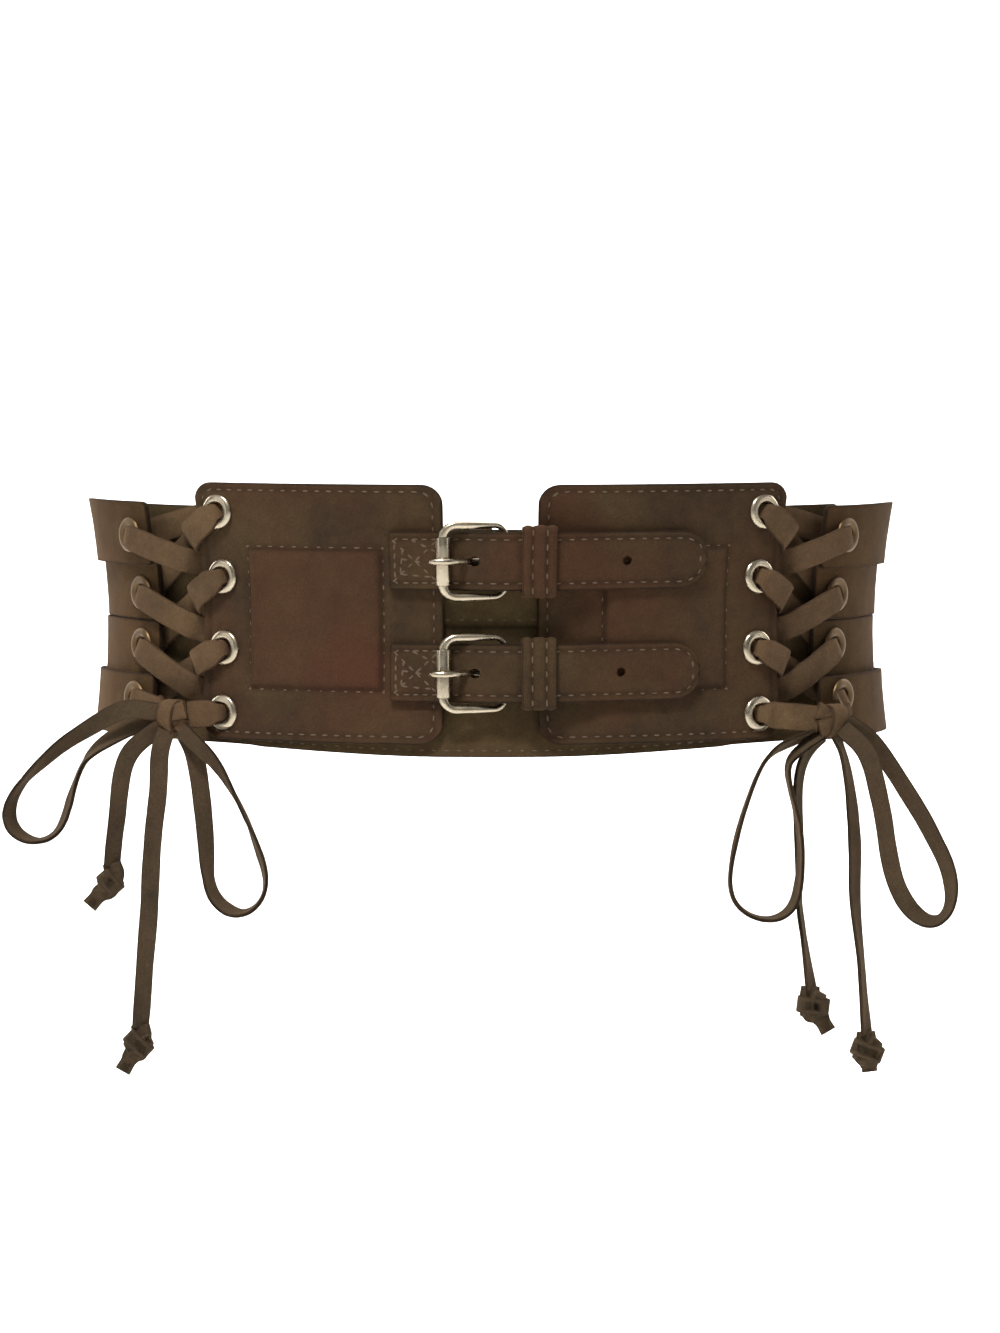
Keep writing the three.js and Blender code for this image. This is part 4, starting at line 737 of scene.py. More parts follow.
# Tail knots: tilt, size and width of each turn of thong, its thickness, and how square its corners are
KNOT_TURNS = [(0.46, 1.0, 5.4), (-0.72, 0.94, 4.8)]
KNOT_TURN_THICKNESS = 1.5
KNOT_SQUARENESS = 0.72
KNOT_EDGE_ROUND = 0.5
KNOT_CORE_STEP = 0.6
KNOT_CORE_ROUND = 1.2


def thong_route(name, side):
    middle = bow_axes(side)[0]
    points = [middle + Vector(row[:3]) * MM for row in FREE_THONGS[name]]
    points[0] = seat_on_knot(points[0], side)
    if name not in TAIL_ENDS:
        points[-1] = seat_on_knot(points[-1], side)
    return soften(spline(points, RING_STEP * MM))


def soften(route):
    """Eases small kinks out of a route, with its ends kept."""
    for _ in range(EASING_ROUNDS):
        eased = [
            ((before[0] + here[0] * 2 + after[0]) / 4, here[1])
            for before, here, after in zip(route, route[1:], route[2:])
        ]
        route = [route[0], *eased, route[-1]]
    return route


def make_free_thong(name, side):
    """A flat thong along its route, turning, wavering in width and cupped a little."""
    route = thong_route(name, side)
    turns = [row[3] for row in FREE_THONGS[name]]
    depth = Vector((0, 1, 0))
    rings = []
    dye_and_shade_shares = []
    for i, (point, place) in enumerate(route):
        low = min(int(place), len(turns) - 2)
        wander = THONG_WANDER * uneven(i * RING_STEP, len(name) * 7, 0, 14)
        turn = math.radians(mix(turns[low], turns[low + 1], place - low) + wander)
        tangent = (route[min(i + 1, len(route) - 1)][0] - route[max(i - 1, 0)][0]).normalized()
        edge = (depth - tangent * depth.dot(tangent)).normalized()
        across = edge * math.cos(turn) + tangent.cross(edge) * math.sin(turn)
        normal = tangent.cross(across)
        width = THONG_WIDTH * (1 + THONG_WIDTH_VARIES * uneven(0, i * RING_STEP, 3, 9))
        cup = THONG_CUP + THONG_CUP_VARIES * uneven(i * RING_STEP, 4, 9, 20)
        section, cut = band_section(width, THONG_THICKNESS, THONG_EDGE_ROUND)
        ring = []
        for x, y in section:
            curl = cup * ((2 * x / width) ** 2 - THONG_CUP_MIDDLE)
            ring.append(point + (across * x + normal * (y + curl)) * MM)
        rings.append(ring)
        dye_and_shade_shares.extend(THONG_EDGE_DYE * share for share in cut)
    vertices, faces = loft(rings)
    thong = make_object(name, vertices, faces, THONG_SUEDE, dye_and_shade_shares)
    settle(thong, "thong_suede", name)
    return thong, [point for point, _ in route]


def boxy(share, power):
    """A sine or cosine drawn out, so that a ring of them has squarer corners."""
    return math.copysign(abs(share) ** power, share)


def make_tail_knot(name, end_point, tangent):
    """An overhand knot at the end of a tail: two turns of thong round a thick middle, and its cut end."""
    along, up, stub, girth = TAIL_ENDS[name]
    way = Vector((along, 0, up)).normalized()
    centre = end_point + tangent * (TAIL_KNOT[2] + GAP) * MM
    lean = (tangent + way).normalized()
    front = Vector((0, -1, 0))
    flat_side = lean.cross(front).normalized()
    half_w, half_d, half_h = TAIL_KNOT[0] * girth, TAIL_KNOT[1], TAIL_KNOT[2]
    parts = []
    for tilt, size, width in KNOT_TURNS:
        axis = lean * math.cos(tilt) + flat_side * math.sin(tilt)
        wide = flat_side * math.cos(tilt) - lean * math.sin(tilt)
        stations = []
        for i in range(RING_CUTS):
            turn = 2 * math.pi * i / RING_CUTS
            aside = boxy(math.cos(turn), KNOT_SQUARENESS) * (half_w - THONG_THICKNESS / 2) * size
            forward = boxy(math.sin(turn), KNOT_SQUARENESS) * (half_d - THONG_THICKNESS / 2) * size
            place = centre + (wide * aside + front * forward) * MM
            stations.append((place, axis, width * MM, KNOT_TURN_THICKNESS * MM))
        parts.append(sweep(stations, KNOT_EDGE_ROUND * MM, closed=True, flat=False))
    # Middle, width and thickness of the core, from where the tail goes in to its cut end
    core = [
        (end_point - tangent * MM, THONG_WIDTH + 0.2, THONG_THICKNESS + 0.3),
        (centre - lean * 0.6 * half_h * MM, THONG_WIDTH + 0.9, half_d),
        (centre - lean * 0.1 * half_h * MM, 1.84 * half_w, 1.5 * half_d),
        (centre + lean * 0.45 * half_h * MM, 1.7 * half_w, 1.4 * half_d),
        (centre + way * 0.98 * half_h * MM, THONG_WIDTH, 0.8 * half_d),
        (centre + way * (half_h + 0.4 * stub) * MM, 0.84 * THONG_WIDTH, 1.2 * THONG_THICKNESS),
        (centre + way * (half_h + stub) * MM, 0.88 * THONG_WIDTH, 1.1 * THONG_THICKNESS),
    ]
    stations = []
    for point, place in spline([middle for middle, _, _ in core], KNOT_CORE_STEP * MM):
        low = min(int(place), len(core) - 2)
        share = smoothstep(0, 1, place - low)
        width = mix(core[low][1], core[low + 1][1], share)
        thick = mix(core[low][2], core[low + 1][2], share)
        stations.append((point, flat_side, width * MM, thick * MM))
    parts.append(sweep(stations, KNOT_CORE_ROUND * MM, flat=False))
    name = f"{name}_knot"
    knot = join_parts(name, parts, THONG_SUEDE, THONG_EDGE_DYE)
    return settle(knot, "thong_suede", name)


for thong_name in FREE_THONGS:
    thong_side = SIDES[thong_name.split("_")[0]]
    made_thong, thong_centres = make_free_thong(thong_name, thong_side)
    if thong_name in TAIL_ENDS:
        end_way = (thong_centres[-1] - thong_centres[-3]).normalized()
        tail_knot = make_tail_knot(thong_name, thong_centres[-1], end_way)


# Leather sheets: mesh steps, how round the edges are, and how far dye has soaked in from a cut edge
STRAP_STEP = 1.7
PANEL_STEP = 0.85
BASE_STEP = 1.2
BILLET_STEP = 0.55
EDGE_STOPS = [0, 0.12, 0.3, 0.6, 1.0]
EDGE_ROUND = 0.45
PANEL_EDGE_ROUND = 0.7
BILLET_EDGE_ROUND = 0.6
EDGE_DYE_REACH = 0.5

# Waves in the face of the leather: height and the size of their features
STRAP_WAVE = (0.14, 16)
STRAP_RIPPLE = (0.05, 4)
PANEL_WAVE = (0.3, 24)
PANEL_RIPPLE = (0.08, 6)
BASE_RIPPLE = (0.06, 6)
BILLET_WAVE = (0.12, 9)


def wave(kind, u, z, seed):
    height, size = kind
    return height * uneven(u, z, seed, size)


def corner_cut(radius, distance):
    """How much a rounded corner takes off an edge at a distance from the piece's end."""
    if distance >= radius:
        return 0.0
    return radius - math.sqrt(radius**2 - (radius - distance) ** 2)


def edge_stops(start, end, step, radius):
    """Stops from start to end about a step apart, closer together at both ends."""
    near = [*EDGE_STOPS]
    near += [radius * share for share in (0.25, 0.4, 0.6, 0.8, 1.0) if radius * share > 1.2]
    inner = near[-1] + step * 0.7
    spans = max(1, round((end - start - 2 * inner) / step))
    middle = [start + inner + (end - start - 2 * inner) * i / spans for i in range(spans + 1)]
    return [start + d for d in near] + middle + [end - d for d in reversed(near)]


def leather(
    name, material, start, end, top, bottom, inner, thickness, step, corner, holes, relief,
    edge_round=EDGE_ROUND, shade=None, warm=None,
):
    """A sheet on the waist from start to end between two edges, with round holes (u, z, radius)."""
    columns = edge_stops(start, end, step, corner)
    tallest = max(top(u) - bottom(u) for u in columns)
    rows = edge_stops(0, tallest, step, 0)
    vertices = []
    dye_and_shade_shares = []
    warmth = []
    index = {}
    places = {}
    for i, u in enumerate(columns):
        low, high = bottom(u), top(u)
        for j, row in enumerate(rows):
            z = low + (high - low) * row / tallest
            edge = max(0.0, min(u - start, end - u, high - z, z - low))
            places[i, j] = (u, z, edge)
    wide, tall = len(columns), len(rows)

    def inside_hole(u, z):
        return any((u - hole_u) ** 2 + (z - hole_z) ** 2 < radius**2 for hole_u, hole_z, radius in holes)

    cells = []
    for i in range(wide - 1):
        for j in range(tall - 1):
            corners = [(i, j), (i + 1, j), (i + 1, j + 1), (i, j + 1)]
            u = sum(places[c][0] for c in corners) / 4
            z = sum(places[c][1] for c in corners) / 4
            if not inside_hole(u, z):
                cells.append(corners)
    uses = {}
    for cell in cells:
        for a, b in zip(cell, cell[1:] + cell[:1]):
            uses.setdefault(frozenset((a, b)), []).append((a, b))
    rim = [pairs[0] for pairs in uses.values() if len(pairs) == 1]
    for spot in {spot for pair in rim for spot in pair}:
        u, z, edge = places[spot]
        for hole_u, hole_z, radius in holes:
            away = math.hypot(u - hole_u, z - hole_z)
            if 0 < away < radius + 1.5 * step:
                places[spot] = (
                    hole_u + (u - hole_u) * radius / away, hole_z + (z - hole_z) * radius / away, edge,
                )
    used = sorted({spot for cell in cells for spot in cell})
    for face in ("front", "back"):
        for spot in used:
            u, z, edge = places[spot]
            rounding = 0.0
            if edge < edge_round:
                rounding = edge_round * (1 - math.sqrt(1 - (1 - edge / edge_round) ** 2))
            if face == "front":
                lift = inner(u) + thickness - rounding + relief(u, z)
            else:
                lift = inner(u) + rounding
            index[face, spot] = len(vertices)
            vertices.append(waist_point(u, z, lift))
            # Painted shade in seams and grooves on the front face, and the dye soaked in from the cut edges,
            # both darken the colour
            painted_shade = shade(u, z) if shade and face == "front" else 0.0
            dye_and_shade_shares.append(max(painted_shade, swell(edge, EDGE_DYE_REACH)))
            warmth.append(warm(u, z) if warm else 0.0)
    faces = []
    for cell in cells:
        faces.append(tuple(index["front", spot] for spot in cell))
        faces.append(tuple(index["back", spot] for spot in reversed(cell)))
    for a, b in rim:
        faces.append((index["front", b], index["front", a], index["back", a], index["back", b]))
    piece = make_object(name, vertices, faces, material, dye_and_shade_shares)
    piece.data.attributes.new("warm", "FLOAT", "POINT").data.foreach_set("value", warmth)
    return piece


def rows_of(side):
    """The places of a side's eyelets, in the panel and in the straps."""
    strap_end = PANEL_OUTER_U + side["laced_gap"]
    panel_u = side["sign"] * (PANEL_OUTER_U - PANEL_EYELET_INSET)
    strap_u = side["sign"] * (strap_end + side["strap_inset"])
    return [(panel_u, z) for z in side["panel_z"]], [(strap_u, z) for z in side["strap_z"]]


def strap_in(strap, u):
    """The lift of a back strap's inner face."""
    if strap.get("outer"):
        return OUTER_STRAP_IN
    left = STRAP_STAGGER if strap.get("proud") == "left" else 0
    right = STRAP_STAGGER if strap.get("proud") == "right" else 0
    return PANEL_IN + at_ends(u, left, right)


def at_ends(u, left, right):
    """A value that goes from the left side's to the right side's along the waist."""
    share = min(1.0, max(0.0, (u + WAIST_HALF_WIDTH) / (2 * WAIST_HALF_WIDTH)))
    return mix(left, right, share)


def back_u(u):
    """Brings u past the back to the left half, where it is negative."""
    return u - 2 * HALF_GIRTH if u > HALF_GIRTH else u


def back_dip(u):
    return BACK_DIP * smoothstep(BACK_DIP_START_U, HALF_GIRTH, abs(back_u(u)))


def make_back_strap(strap, row):
    start = PANEL_OUTER_U + SIDES["right"]["laced_gap"]
    end = 2 * HALF_GIRTH - (PANEL_OUTER_U + SIDES["left"]["laced_gap"])
    holes = []
    for side in SIDES.values():
        u, z = rows_of(side)[1][row]
        holes.append((u if u > 0 else u + 2 * HALF_GIRTH, z, LEATHER_HOLE_RADIUS))

    def rounding(u):
        return corner_cut(STRAP_END_CORNER, min(u - start, end - u))

    def relief(u, z):
        return wave(STRAP_WAVE, u, z, row * 31) + wave(STRAP_RIPPLE, u, z, row * 17)

    piece = leather(
        strap["name"], STRAP_SUEDE, start, end,
        lambda u: at_ends(back_u(u), *strap["top"]) - back_dip(u) - rounding(u),
        lambda u: at_ends(back_u(u), *strap["bottom"]) - back_dip(u) + rounding(u),
        lambda u: strap_in(strap, back_u(u)), STRAP_THICKNESS, STRAP_STEP, STRAP_END_CORNER, holes, relief,
    )
    settle(piece, "strap_suede", strap["name"])


for strap_row, back_strap in enumerate(BACK_STRAPS):
    make_back_strap(back_strap, strap_row)


# Front panels, with a stitched square that stands up a little
SQUARES = {
    "left": {"inner": 33.3, "outer": 79, "low": -20.4, "high": 25.9, "ridge": True},
    "right": {"inner": 35, "outer": 77.2, "low": -20.4, "high": 26.3, "ridge": False},
}
SQUARE_RISE = 0.8
SQUARE_SLOPE = 3.5
WELT_RISE = 0.8
WELT_HALF_WIDTH = 1.3
SEAM_DEPTH = 0.5
SEAM_HALF_WIDTH = 0.9
SHADE_HALF_WIDTH = 0.8
EDGE_STITCH_TOP = 2.3
EDGE_STITCH_SIDE = 3.1
EDGE_STITCH_BOTTOM = 2.5


def square_edge(name, u, z):
    """Distance to the outline of a panel's stitched square, more than 0 inside."""
    square = SQUARES[name]
    across = abs(u)
    return min(across - square["inner"], square["outer"] - across, z - square["low"], square["high"] - z)


def panel_edge(u, z):
    """Distance to the line of stitches along a panel's edge, more than 0 inside."""
    across = abs(u)
    return min(
        across - PANEL_INNER_U - EDGE_STITCH_SIDE,
        PANEL_OUTER_U - across - EDGE_STITCH_SIDE,
        PANEL_TOP_Z - z - EDGE_STITCH_TOP,
        z - PANEL_BOTTOM_Z - EDGE_STITCH_BOTTOM,
    )


def panel_relief(name, u, z):
    inside = square_edge(name, u, z)
    rise = SQUARE_RISE * smoothstep(0, SQUARE_SLOPE, inside)
    if SQUARES[name]["ridge"]:
        welt = WELT_RISE * swell(welt_offset(name, u, z), WELT_HALF_WIDTH)
        rise += welt * smoothstep(-0.5, 2, inside)
    seam = SEAM_DEPTH * swell(inside, SEAM_HALF_WIDTH) if in_square_span(name, u, z) else 0.0
    hem = 0.5 * SEAM_DEPTH * swell(panel_edge(u, z), SEAM_HALF_WIDTH)
    soft = wave(PANEL_WAVE, u, z, 5) + wave(PANEL_RIPPLE, u, z, 9)
    return rise - seam - hem + soft


def welt_offset(name, u, z):
    """Distance from the raised welt along the outer side of the left panel's square, which leans a little."""
    square = SQUARES[name]
    up = (z - square["low"]) / (square["high"] - square["low"])
    return square["outer"] - abs(u) - mix(1.2, 2.6, up)


def panel_shade(name, u, z):
    """Shade in the stitched grooves, strongest just inside the square."""
    inside = square_edge(name, u, z)
    groove = 0.55 * swell(inside - 0.7, SHADE_HALF_WIDTH) if in_square_span(name, u, z) else 0.0
    return max(groove, 0.3 * swell(panel_edge(u, z), SHADE_HALF_WIDTH))


def panel_warmth(name, u, z):
    """The left square is cut from a redder skin than the panel round it."""
    return smoothstep(-0.3, 0.6, square_edge(name, u, z)) if SQUARES[name]["ridge"] else 0.0


def in_square_span(name, u, z):
    """Whether a spot is on the square or within reach of its seam."""
    square = SQUARES[name]
    near = 2 * SEAM_HALF_WIDTH
    across = abs(u)
    return (
        square["inner"] - near < across < square["outer"] + near
        and square["low"] - near < z < square["high"] + near
    )


def make_panel(side):
    name = side["name"]
    start, end = PANEL_INNER_U, PANEL_OUTER_U
    if side["sign"] < 0:
        start, end = -end, -start

    def from_end(u):
        return min(u - start, end - u)

    holes = [(u, z, LEATHER_HOLE_RADIUS) for u, z in rows_of(side)[0]]
    piece = leather(
        f"{name}_panel", PANEL_SUEDE, start, end,
        lambda u: PANEL_TOP_Z - corner_cut(PANEL_TOP_CORNER, from_end(u)),
        lambda u: PANEL_BOTTOM_Z + corner_cut(PANEL_BOTTOM_CORNER, from_end(u)),
        lambda u: PANEL_IN, PANEL_THICKNESS, PANEL_STEP, PANEL_BOTTOM_CORNER, holes,
        lambda u, z: panel_relief(name, u, z), edge_round=PANEL_EDGE_ROUND,
        shade=lambda u, z: panel_shade(name, u, z), warm=lambda u, z: panel_warmth(name, u, z),
    )
    settle(piece, "panel_suede", f"{name}_panel")


for panel_side in SIDES.values():
    make_panel(panel_side)


# The layer behind the panels
BASE_SEAM_Z = 2.2
BASE_SEAM_STITCH = 0.8
BASE_LAP_RISE = 0.6
BASE_LAP_SHADE = 1.3
BASE_LAP_SHADE_WIDTH = 0.6
BASE_HEM_STITCH = 2.1
BASE_GROOVE_HALF_WIDTH = 0.7


def base_top(u):
    share = smoothstep(PANEL_INNER_U, PANEL_OUTER_U, abs(u))
    return PANEL_TOP_Z - mix(BASE_CENTRE_TOP_BELOW_PANEL, BASE_END_TOP_BELOW_PANEL, share)


def base_bottom(u):
    share = smoothstep(PANEL_INNER_U, PANEL_OUTER_U, abs(u))
    return PANEL_BOTTOM_Z - mix(BASE_CENTRE_HEM, BASE_END_HEM, share)


def base_in(u):
    dip_end = PANEL_OUTER_U - PANEL_EYELET_INSET - EYELET_RADIUS
    return -BASE_END_DROP * smoothstep(dip_end - BASE_DIP_LENGTH, dip_end, abs(u))


def between_panels(u):
    return smoothstep(PANEL_INNER_U + 3, PANEL_INNER_U, abs(u))


def hem_groove(u, z):
    return swell(z - base_bottom(u) - BASE_HEM_STITCH, BASE_GROOVE_HALF_WIDTH)


def base_relief(u, z):
    """A lap across the middle between the panels, sunk stitch lines and small ripples."""
    lap = BASE_LAP_RISE * between_panels(u) * smoothstep(BASE_SEAM_Z - 0.9, BASE_SEAM_Z - 0.4, z)
    seam = 0.25 * between_panels(u) * swell(z - BASE_SEAM_Z - BASE_SEAM_STITCH, BASE_GROOVE_HALF_WIDTH)
    return lap - seam - 0.2 * hem_groove(u, z) + wave(BASE_RIPPLE, u, z, 2)


# Painted shade under the lap between the panels and in the hem's stitch groove
def base_shade(u, z):
    under_lap = 0.8 * swell(z - BASE_SEAM_Z + BASE_LAP_SHADE, BASE_LAP_SHADE_WIDTH) * between_panels(u)
    return max(under_lap, 0.25 * hem_groove(u, z))


def make_base():
    start = -(PANEL_OUTER_U + SIDES["left"]["laced_gap"] + BASE_END_BEYOND_STRAP)
    end = PANEL_OUTER_U + SIDES["right"]["laced_gap"] + BASE_END_BEYOND_STRAP

    def rounding(u):
        return corner_cut(BASE_CORNER, min(u - start, end - u))

    piece = leather(
        "front_base", BASE_SUEDE, start, end,
        lambda u: base_top(u) - rounding(u), lambda u: base_bottom(u) + rounding(u),
        base_in, BASE_THICKNESS, BASE_STEP, BASE_CORNER, (), base_relief, shade=base_shade,
    )
    settle(piece, "base_suede", "front_base")


make_base()


# Lacing: one flat thong from the bow through the eyelets and back
LACING_STEP = 0.7
LACING_EDGE_ROUND = 0.42
LACING_WIDTH_VARIES = 0.05
LACING_INTO_KNOT = 1.5


def over_eyelet(out_lift):
    """The lift of a thong's middle where it lies on an eyelet's rim."""
    return out_lift + GAP + EYELET_FRONT_RISE + GAP + THONG_THICKNESS / 2


def heading(start, end):
    return Vector((end[0] - start[0], end[1] - start[1])).normalized()


def across_of(way):
    return Vector((-way.y, 0, way.x))


def thong_station(spot, way, distance, lift, across, spread):
    """A thong's middle, direction across, width and thickness: flat at spread 1, bunched at spread 0."""
    middle = Vector((spot[0] + way.x * distance, lift, spot[1] + way.y * distance))
    width = mix(LACING_BUNCHED_WIDTH, LACING_WIDTH, spread)
    return [middle, across, width, mix(THONG_BUNCHED_THICKNESS, THONG_THICKNESS, spread)]


def through_eyelet(hole, way_in, way_out):
    """A strand from behind the leather up through an eyelet and over its rim."""
    spot, in_lift, out_lift = hole
    front = over_eyelet(out_lift)
    across_in = across_of(way_in)
    across_out = across_of(way_out)
    if across_in.dot(across_out) < 0:
        across_out.negate()
    stations = []
    for out, below, spread in reversed(EYELET_BEND):
        lift = BEHIND_LIFT + below * EYELET_HOLE_RADIUS
        stations.append(thong_station(spot, way_in, -out * EYELET_RADIUS, lift, across_in, spread))
    for share in (0.3, 0.7):
        across = across_in.lerp(across_out, share).normalized()
        stations.append(thong_station(spot, way_in, 0, mix(in_lift, out_lift, share), across, 0))
    for out, below, spread in EYELET_BEND:
        lift = front - below * EYELET_HOLE_RADIUS
        stations.append(thong_station(spot, way_out, out * EYELET_RADIUS, lift, across_out, spread))
    return stations


def across_gap(side, start, end):
    """A strand from the front of one edge across the laced gap to the back of the other."""
    leaves_strap = abs(start[0][0]) > abs(end[0][0])
    way = heading(start[0], end[0])
    rise = over_eyelet(start[2]) - BEHIND_LIFT
    stations = []
    for across, over, under in GAP_RUN if leaves_strap else reversed(GAP_RUN):
        u = side["sign"] * (PANEL_OUTER_U + side["laced_gap"] - across * side["laced_gap"])
        distance = (u - start[0][0]) / way.x
        lift = BEHIND_LIFT + rise * (over if leaves_strap else under)
        stations.append(thong_station(start[0], way, distance, lift, across_of(way), 1))
    return stations


def strand(side, holes, way_in):
    """Half of the lacing, from behind its first hole through the others to the bow."""
    bow_u, bow_z, bow_lift = bow_centre(side)
    bow = (bow_u, bow_z)
    stations = []
    for i, hole in enumerate(holes):
        arriving = way_in if i == 0 else heading(holes[i - 1][0], hole[0])
        leaving = heading(hole[0], holes[i + 1][0] if i + 1 < len(holes) else bow)
        stations += through_eyelet(hole, arriving, leaving)
        if i + 1 < len(holes):
            stations += across_gap(side, hole, holes[i + 1])
    spot, _, out_lift = holes[-1]
    way = heading(spot, bow)
    whole = math.hypot(bow_u - spot[0], bow_z - spot[1])
    stop = whole - knot_reach(way.x, 0, way.y) + LACING_INTO_KNOT
    half = (EYELET_BEND[2][0] * EYELET_RADIUS + stop) / 2
    middle_lift = (over_eyelet(out_lift) + bow_lift) / 2
    if stop - half > THONG_THICKNESS:
        stations.append(thong_station(spot, way, half, middle_lift, across_of(way), 1))
    stations.append(thong_station(spot, way, stop, bow_lift, across_of(way), 1))
    return stations


def make_lacing(side):
    """Two crossing strands, joined by a bar behind the topmost eyelets."""
    panel_spots, strap_spots = rows_of(side)
    panel_holes = [(spot, PANEL_IN, PANEL_OUT) for spot in panel_spots]
    strap_holes = []
    for spot, strap in zip(strap_spots, BACK_STRAPS):
        in_lift = strap_in(strap, spot[0])
        strap_holes.append((spot, in_lift, in_lift + STRAP_THICKNESS))
    from_panel = [panel_holes[0], strap_holes[1], panel_holes[2], strap_holes[3]]
    from_strap = [strap_holes[0], panel_holes[1], strap_holes[2], panel_holes[3]]
    bar = heading(from_strap[0][0], from_panel[0][0])
    apart = (Vector(from_panel[0][0]) - Vector(from_strap[0][0])).length
    on_bar = [
        thong_station(from_strap[0][0], bar, share * apart, BEHIND_LIFT, across_of(bar), 1)
        for share in (0.3, 0.5, 0.7)
    ]
    stations = [*reversed(strand(side, from_strap, -bar)), *on_bar, *strand(side, from_panel, bar)]
    for before, here in zip(stations, stations[1:]):
        if here[1].dot(before[1]) < 0:
            here[1] = -here[1]
    fine = []
    for point, place in spline([station[0] for station in stations], LACING_STEP):
        low = min(int(place), len(stations) - 2)
        share = place - low
        a, b = stations[low], stations[low + 1]
        wavering = 1 + LACING_WIDTH_VARIES * uneven(place * 5, 0, side["sign"] * 40, 8)
        width = mix(a[2], b[2], share) * wavering
        fine.append((point, a[1].lerp(b[1], share), width, mix(a[3], b[3], share)))
    name = f"{side['name']}_lacing"
    lacing = join_parts(name, [sweep(fine, LACING_EDGE_ROUND)], THONG_SUEDE_PAINTED_LIGHTER, THONG_EDGE_DYE)
    settle(lacing, "thong_suede", name)


# Bow knot: slant of its two bands and how far they lie forward, in half depths; its wrap and its heart
BOW_BANDS = [(0.34, 0.15), (-0.5, -0.2)]
BOW_BAND_SPANS = 16
BOW_WRAP_WIDTH = 6.4
BOW_WRAP_THICKNESS = 1.5
BOW_WRAP_LEAN = 0.9
BOW_WRAP_SQUARENESS = 0.8
BOW_EDGE_ROUND = 0.55
BOW_HEART_SPANS = 8
BOW_HEART_ROUND = 2.2


def make_bow_knot(side):
    """The bow's knot: two crossed bands held by a third that wraps round their middle."""
    middle, along, out = bow_axes(side)
    up = Vector((0, 0, 1))
    half_along, half_out, half_up = (size * MM for size in BOW_KNOT)
    parts = []
    for slant, lift in BOW_BANDS:
        stations = []
        way = (along * math.cos(slant) + up * math.sin(slant)).normalized()
        wide = (up * math.cos(slant) - along * math.sin(slant)).normalized()
        for i in range(BOW_BAND_SPANS + 1):
            share = 2 * i / BOW_BAND_SPANS - 1
            bulge = math.sqrt(max(0.0, 1 - (share * 0.93) ** 2))
            place = middle + way * half_along * 0.98 * share + out * half_out * (0.42 * bulge + lift)
            width = THONG_WIDTH * (0.8 + 0.25 * share * share)
            stations.append((place, wide, width * MM, 1.5 * THONG_THICKNESS * MM))
        parts.append(sweep(stations, BOW_EDGE_ROUND * MM, flat=False))
    ring = []
    for i in range(RING_CUTS):
        turn = 2 * math.pi * i / RING_CUTS
        reach_out = boxy(math.cos(turn), BOW_WRAP_SQUARENESS) * (half_out - 0.3 * MM)
        reach_up = boxy(math.sin(turn), BOW_WRAP_SQUARENESS) * (half_up - 0.5 * MM)
        lean = along * BOW_WRAP_LEAN * MM * math.sin(turn)
        place = middle + out * reach_out + up * reach_up + lean
        ring.append((place, along, BOW_WRAP_WIDTH * MM, BOW_WRAP_THICKNESS * MM))
    parts.append(sweep(ring, BOW_EDGE_ROUND * MM, closed=True, flat=False))
    heart = []
    for i in range(BOW_HEART_SPANS + 1):
        share = 2 * i / BOW_HEART_SPANS - 1
        girth = math.sqrt(max(0.02, 1 - (share * 0.98) ** 2))
        place = middle + along * half_along * 0.8 * share
        heart.append((place, up, 2 * half_up * 0.82 * girth, 2 * half_out * 0.72 * girth))
    parts.append(sweep(heart, BOW_HEART_ROUND * MM, flat=False))
    name = f"{side['name']}_bow_knot"
    settle(join_parts(name, parts, THONG_SUEDE_PAINTED_LIGHTER, THONG_EDGE_DYE), "thong_suede", name)


for laced_side in SIDES.values():
    make_lacing(laced_side)
    make_bow_knot(laced_side)


# Buckled straps
BILLET_STITCH_INSET = 2.4
BILLET_SEAM_HALF_WIDTH = 0.8
BILLET_SEAM_DEPTH = 0.35
SLOT_STEP = 0.6
CHAPE_STEP = 0.8
CHAPE_EDGE_ROUND = 0.35
KEEPER_STEP = 0.9


def billet_in(row, u):
    """The lift of a billet's inner face, over what lies under it along the way."""
    places = [
        (-PANEL_INNER_U, BILLET_ON_PANEL),
        (FRONT_BAR_U + ROLLER_RADIUS, BILLET_ON_PANEL),
        (HEEL_BAR_U - CHAPE_BEND_RADIUS / 2, BILLET_OVER_HEEL),
        (HEEL_BAR_U + CHAPE_BEND_RADIUS, BILLET_OVER_HEEL),
        (KEEPER_U - KEEPER_WIDTH / 2, BILLET_OVER_KEEPER),
        (KEEPER_END_U + CHAPE_THICKNESS, BILLET_OVER_KEEPER),
        (KEEPER_END_U + CHAPE_TAB + KEEPER_WIDTH, BILLET_ON_PANEL + GAP),
        (row["tip_u"], BILLET_ON_PANEL),
    ]
    if u <= places[0][0]:
        return places[0][1]
    for (last_u, last_lift), (next_u, next_lift) in zip(places, places[1:]):
        if u <= next_u:
            return mix(last_lift, next_lift, smoothstep(last_u, next_u, u))
    return BILLET_ON_PANEL


def prong_at(along, rise):
    """The prong's middle as u and lift, from shares of its way along and up."""
    return mix(HEEL_BAR_U, PRONG_TIP_U, along), mix(HEEL_LIFT, PRONG_REST_LIFT, rise)


def prong_slot(row):
    """The stretch of the billet that the prong passes through."""
    inside = []
    for (along, rise, _), (next_along, next_rise, _) in zip(PRONG_ROUTE, PRONG_ROUTE[1:]):
        for step in range(10):
            u, lift = prong_at(mix(along, next_along, step / 10), mix(rise, next_rise, step / 10))
            low = billet_in(row, u) - PRONG_RADIUS
            high = low + BILLET_THICKNESS + BILLET_CROWN + 2 * PRONG_RADIUS
            if low < lift < high and u > FRONT_BAR_U:
                inside.append(u)
    return min(inside), max(inside)


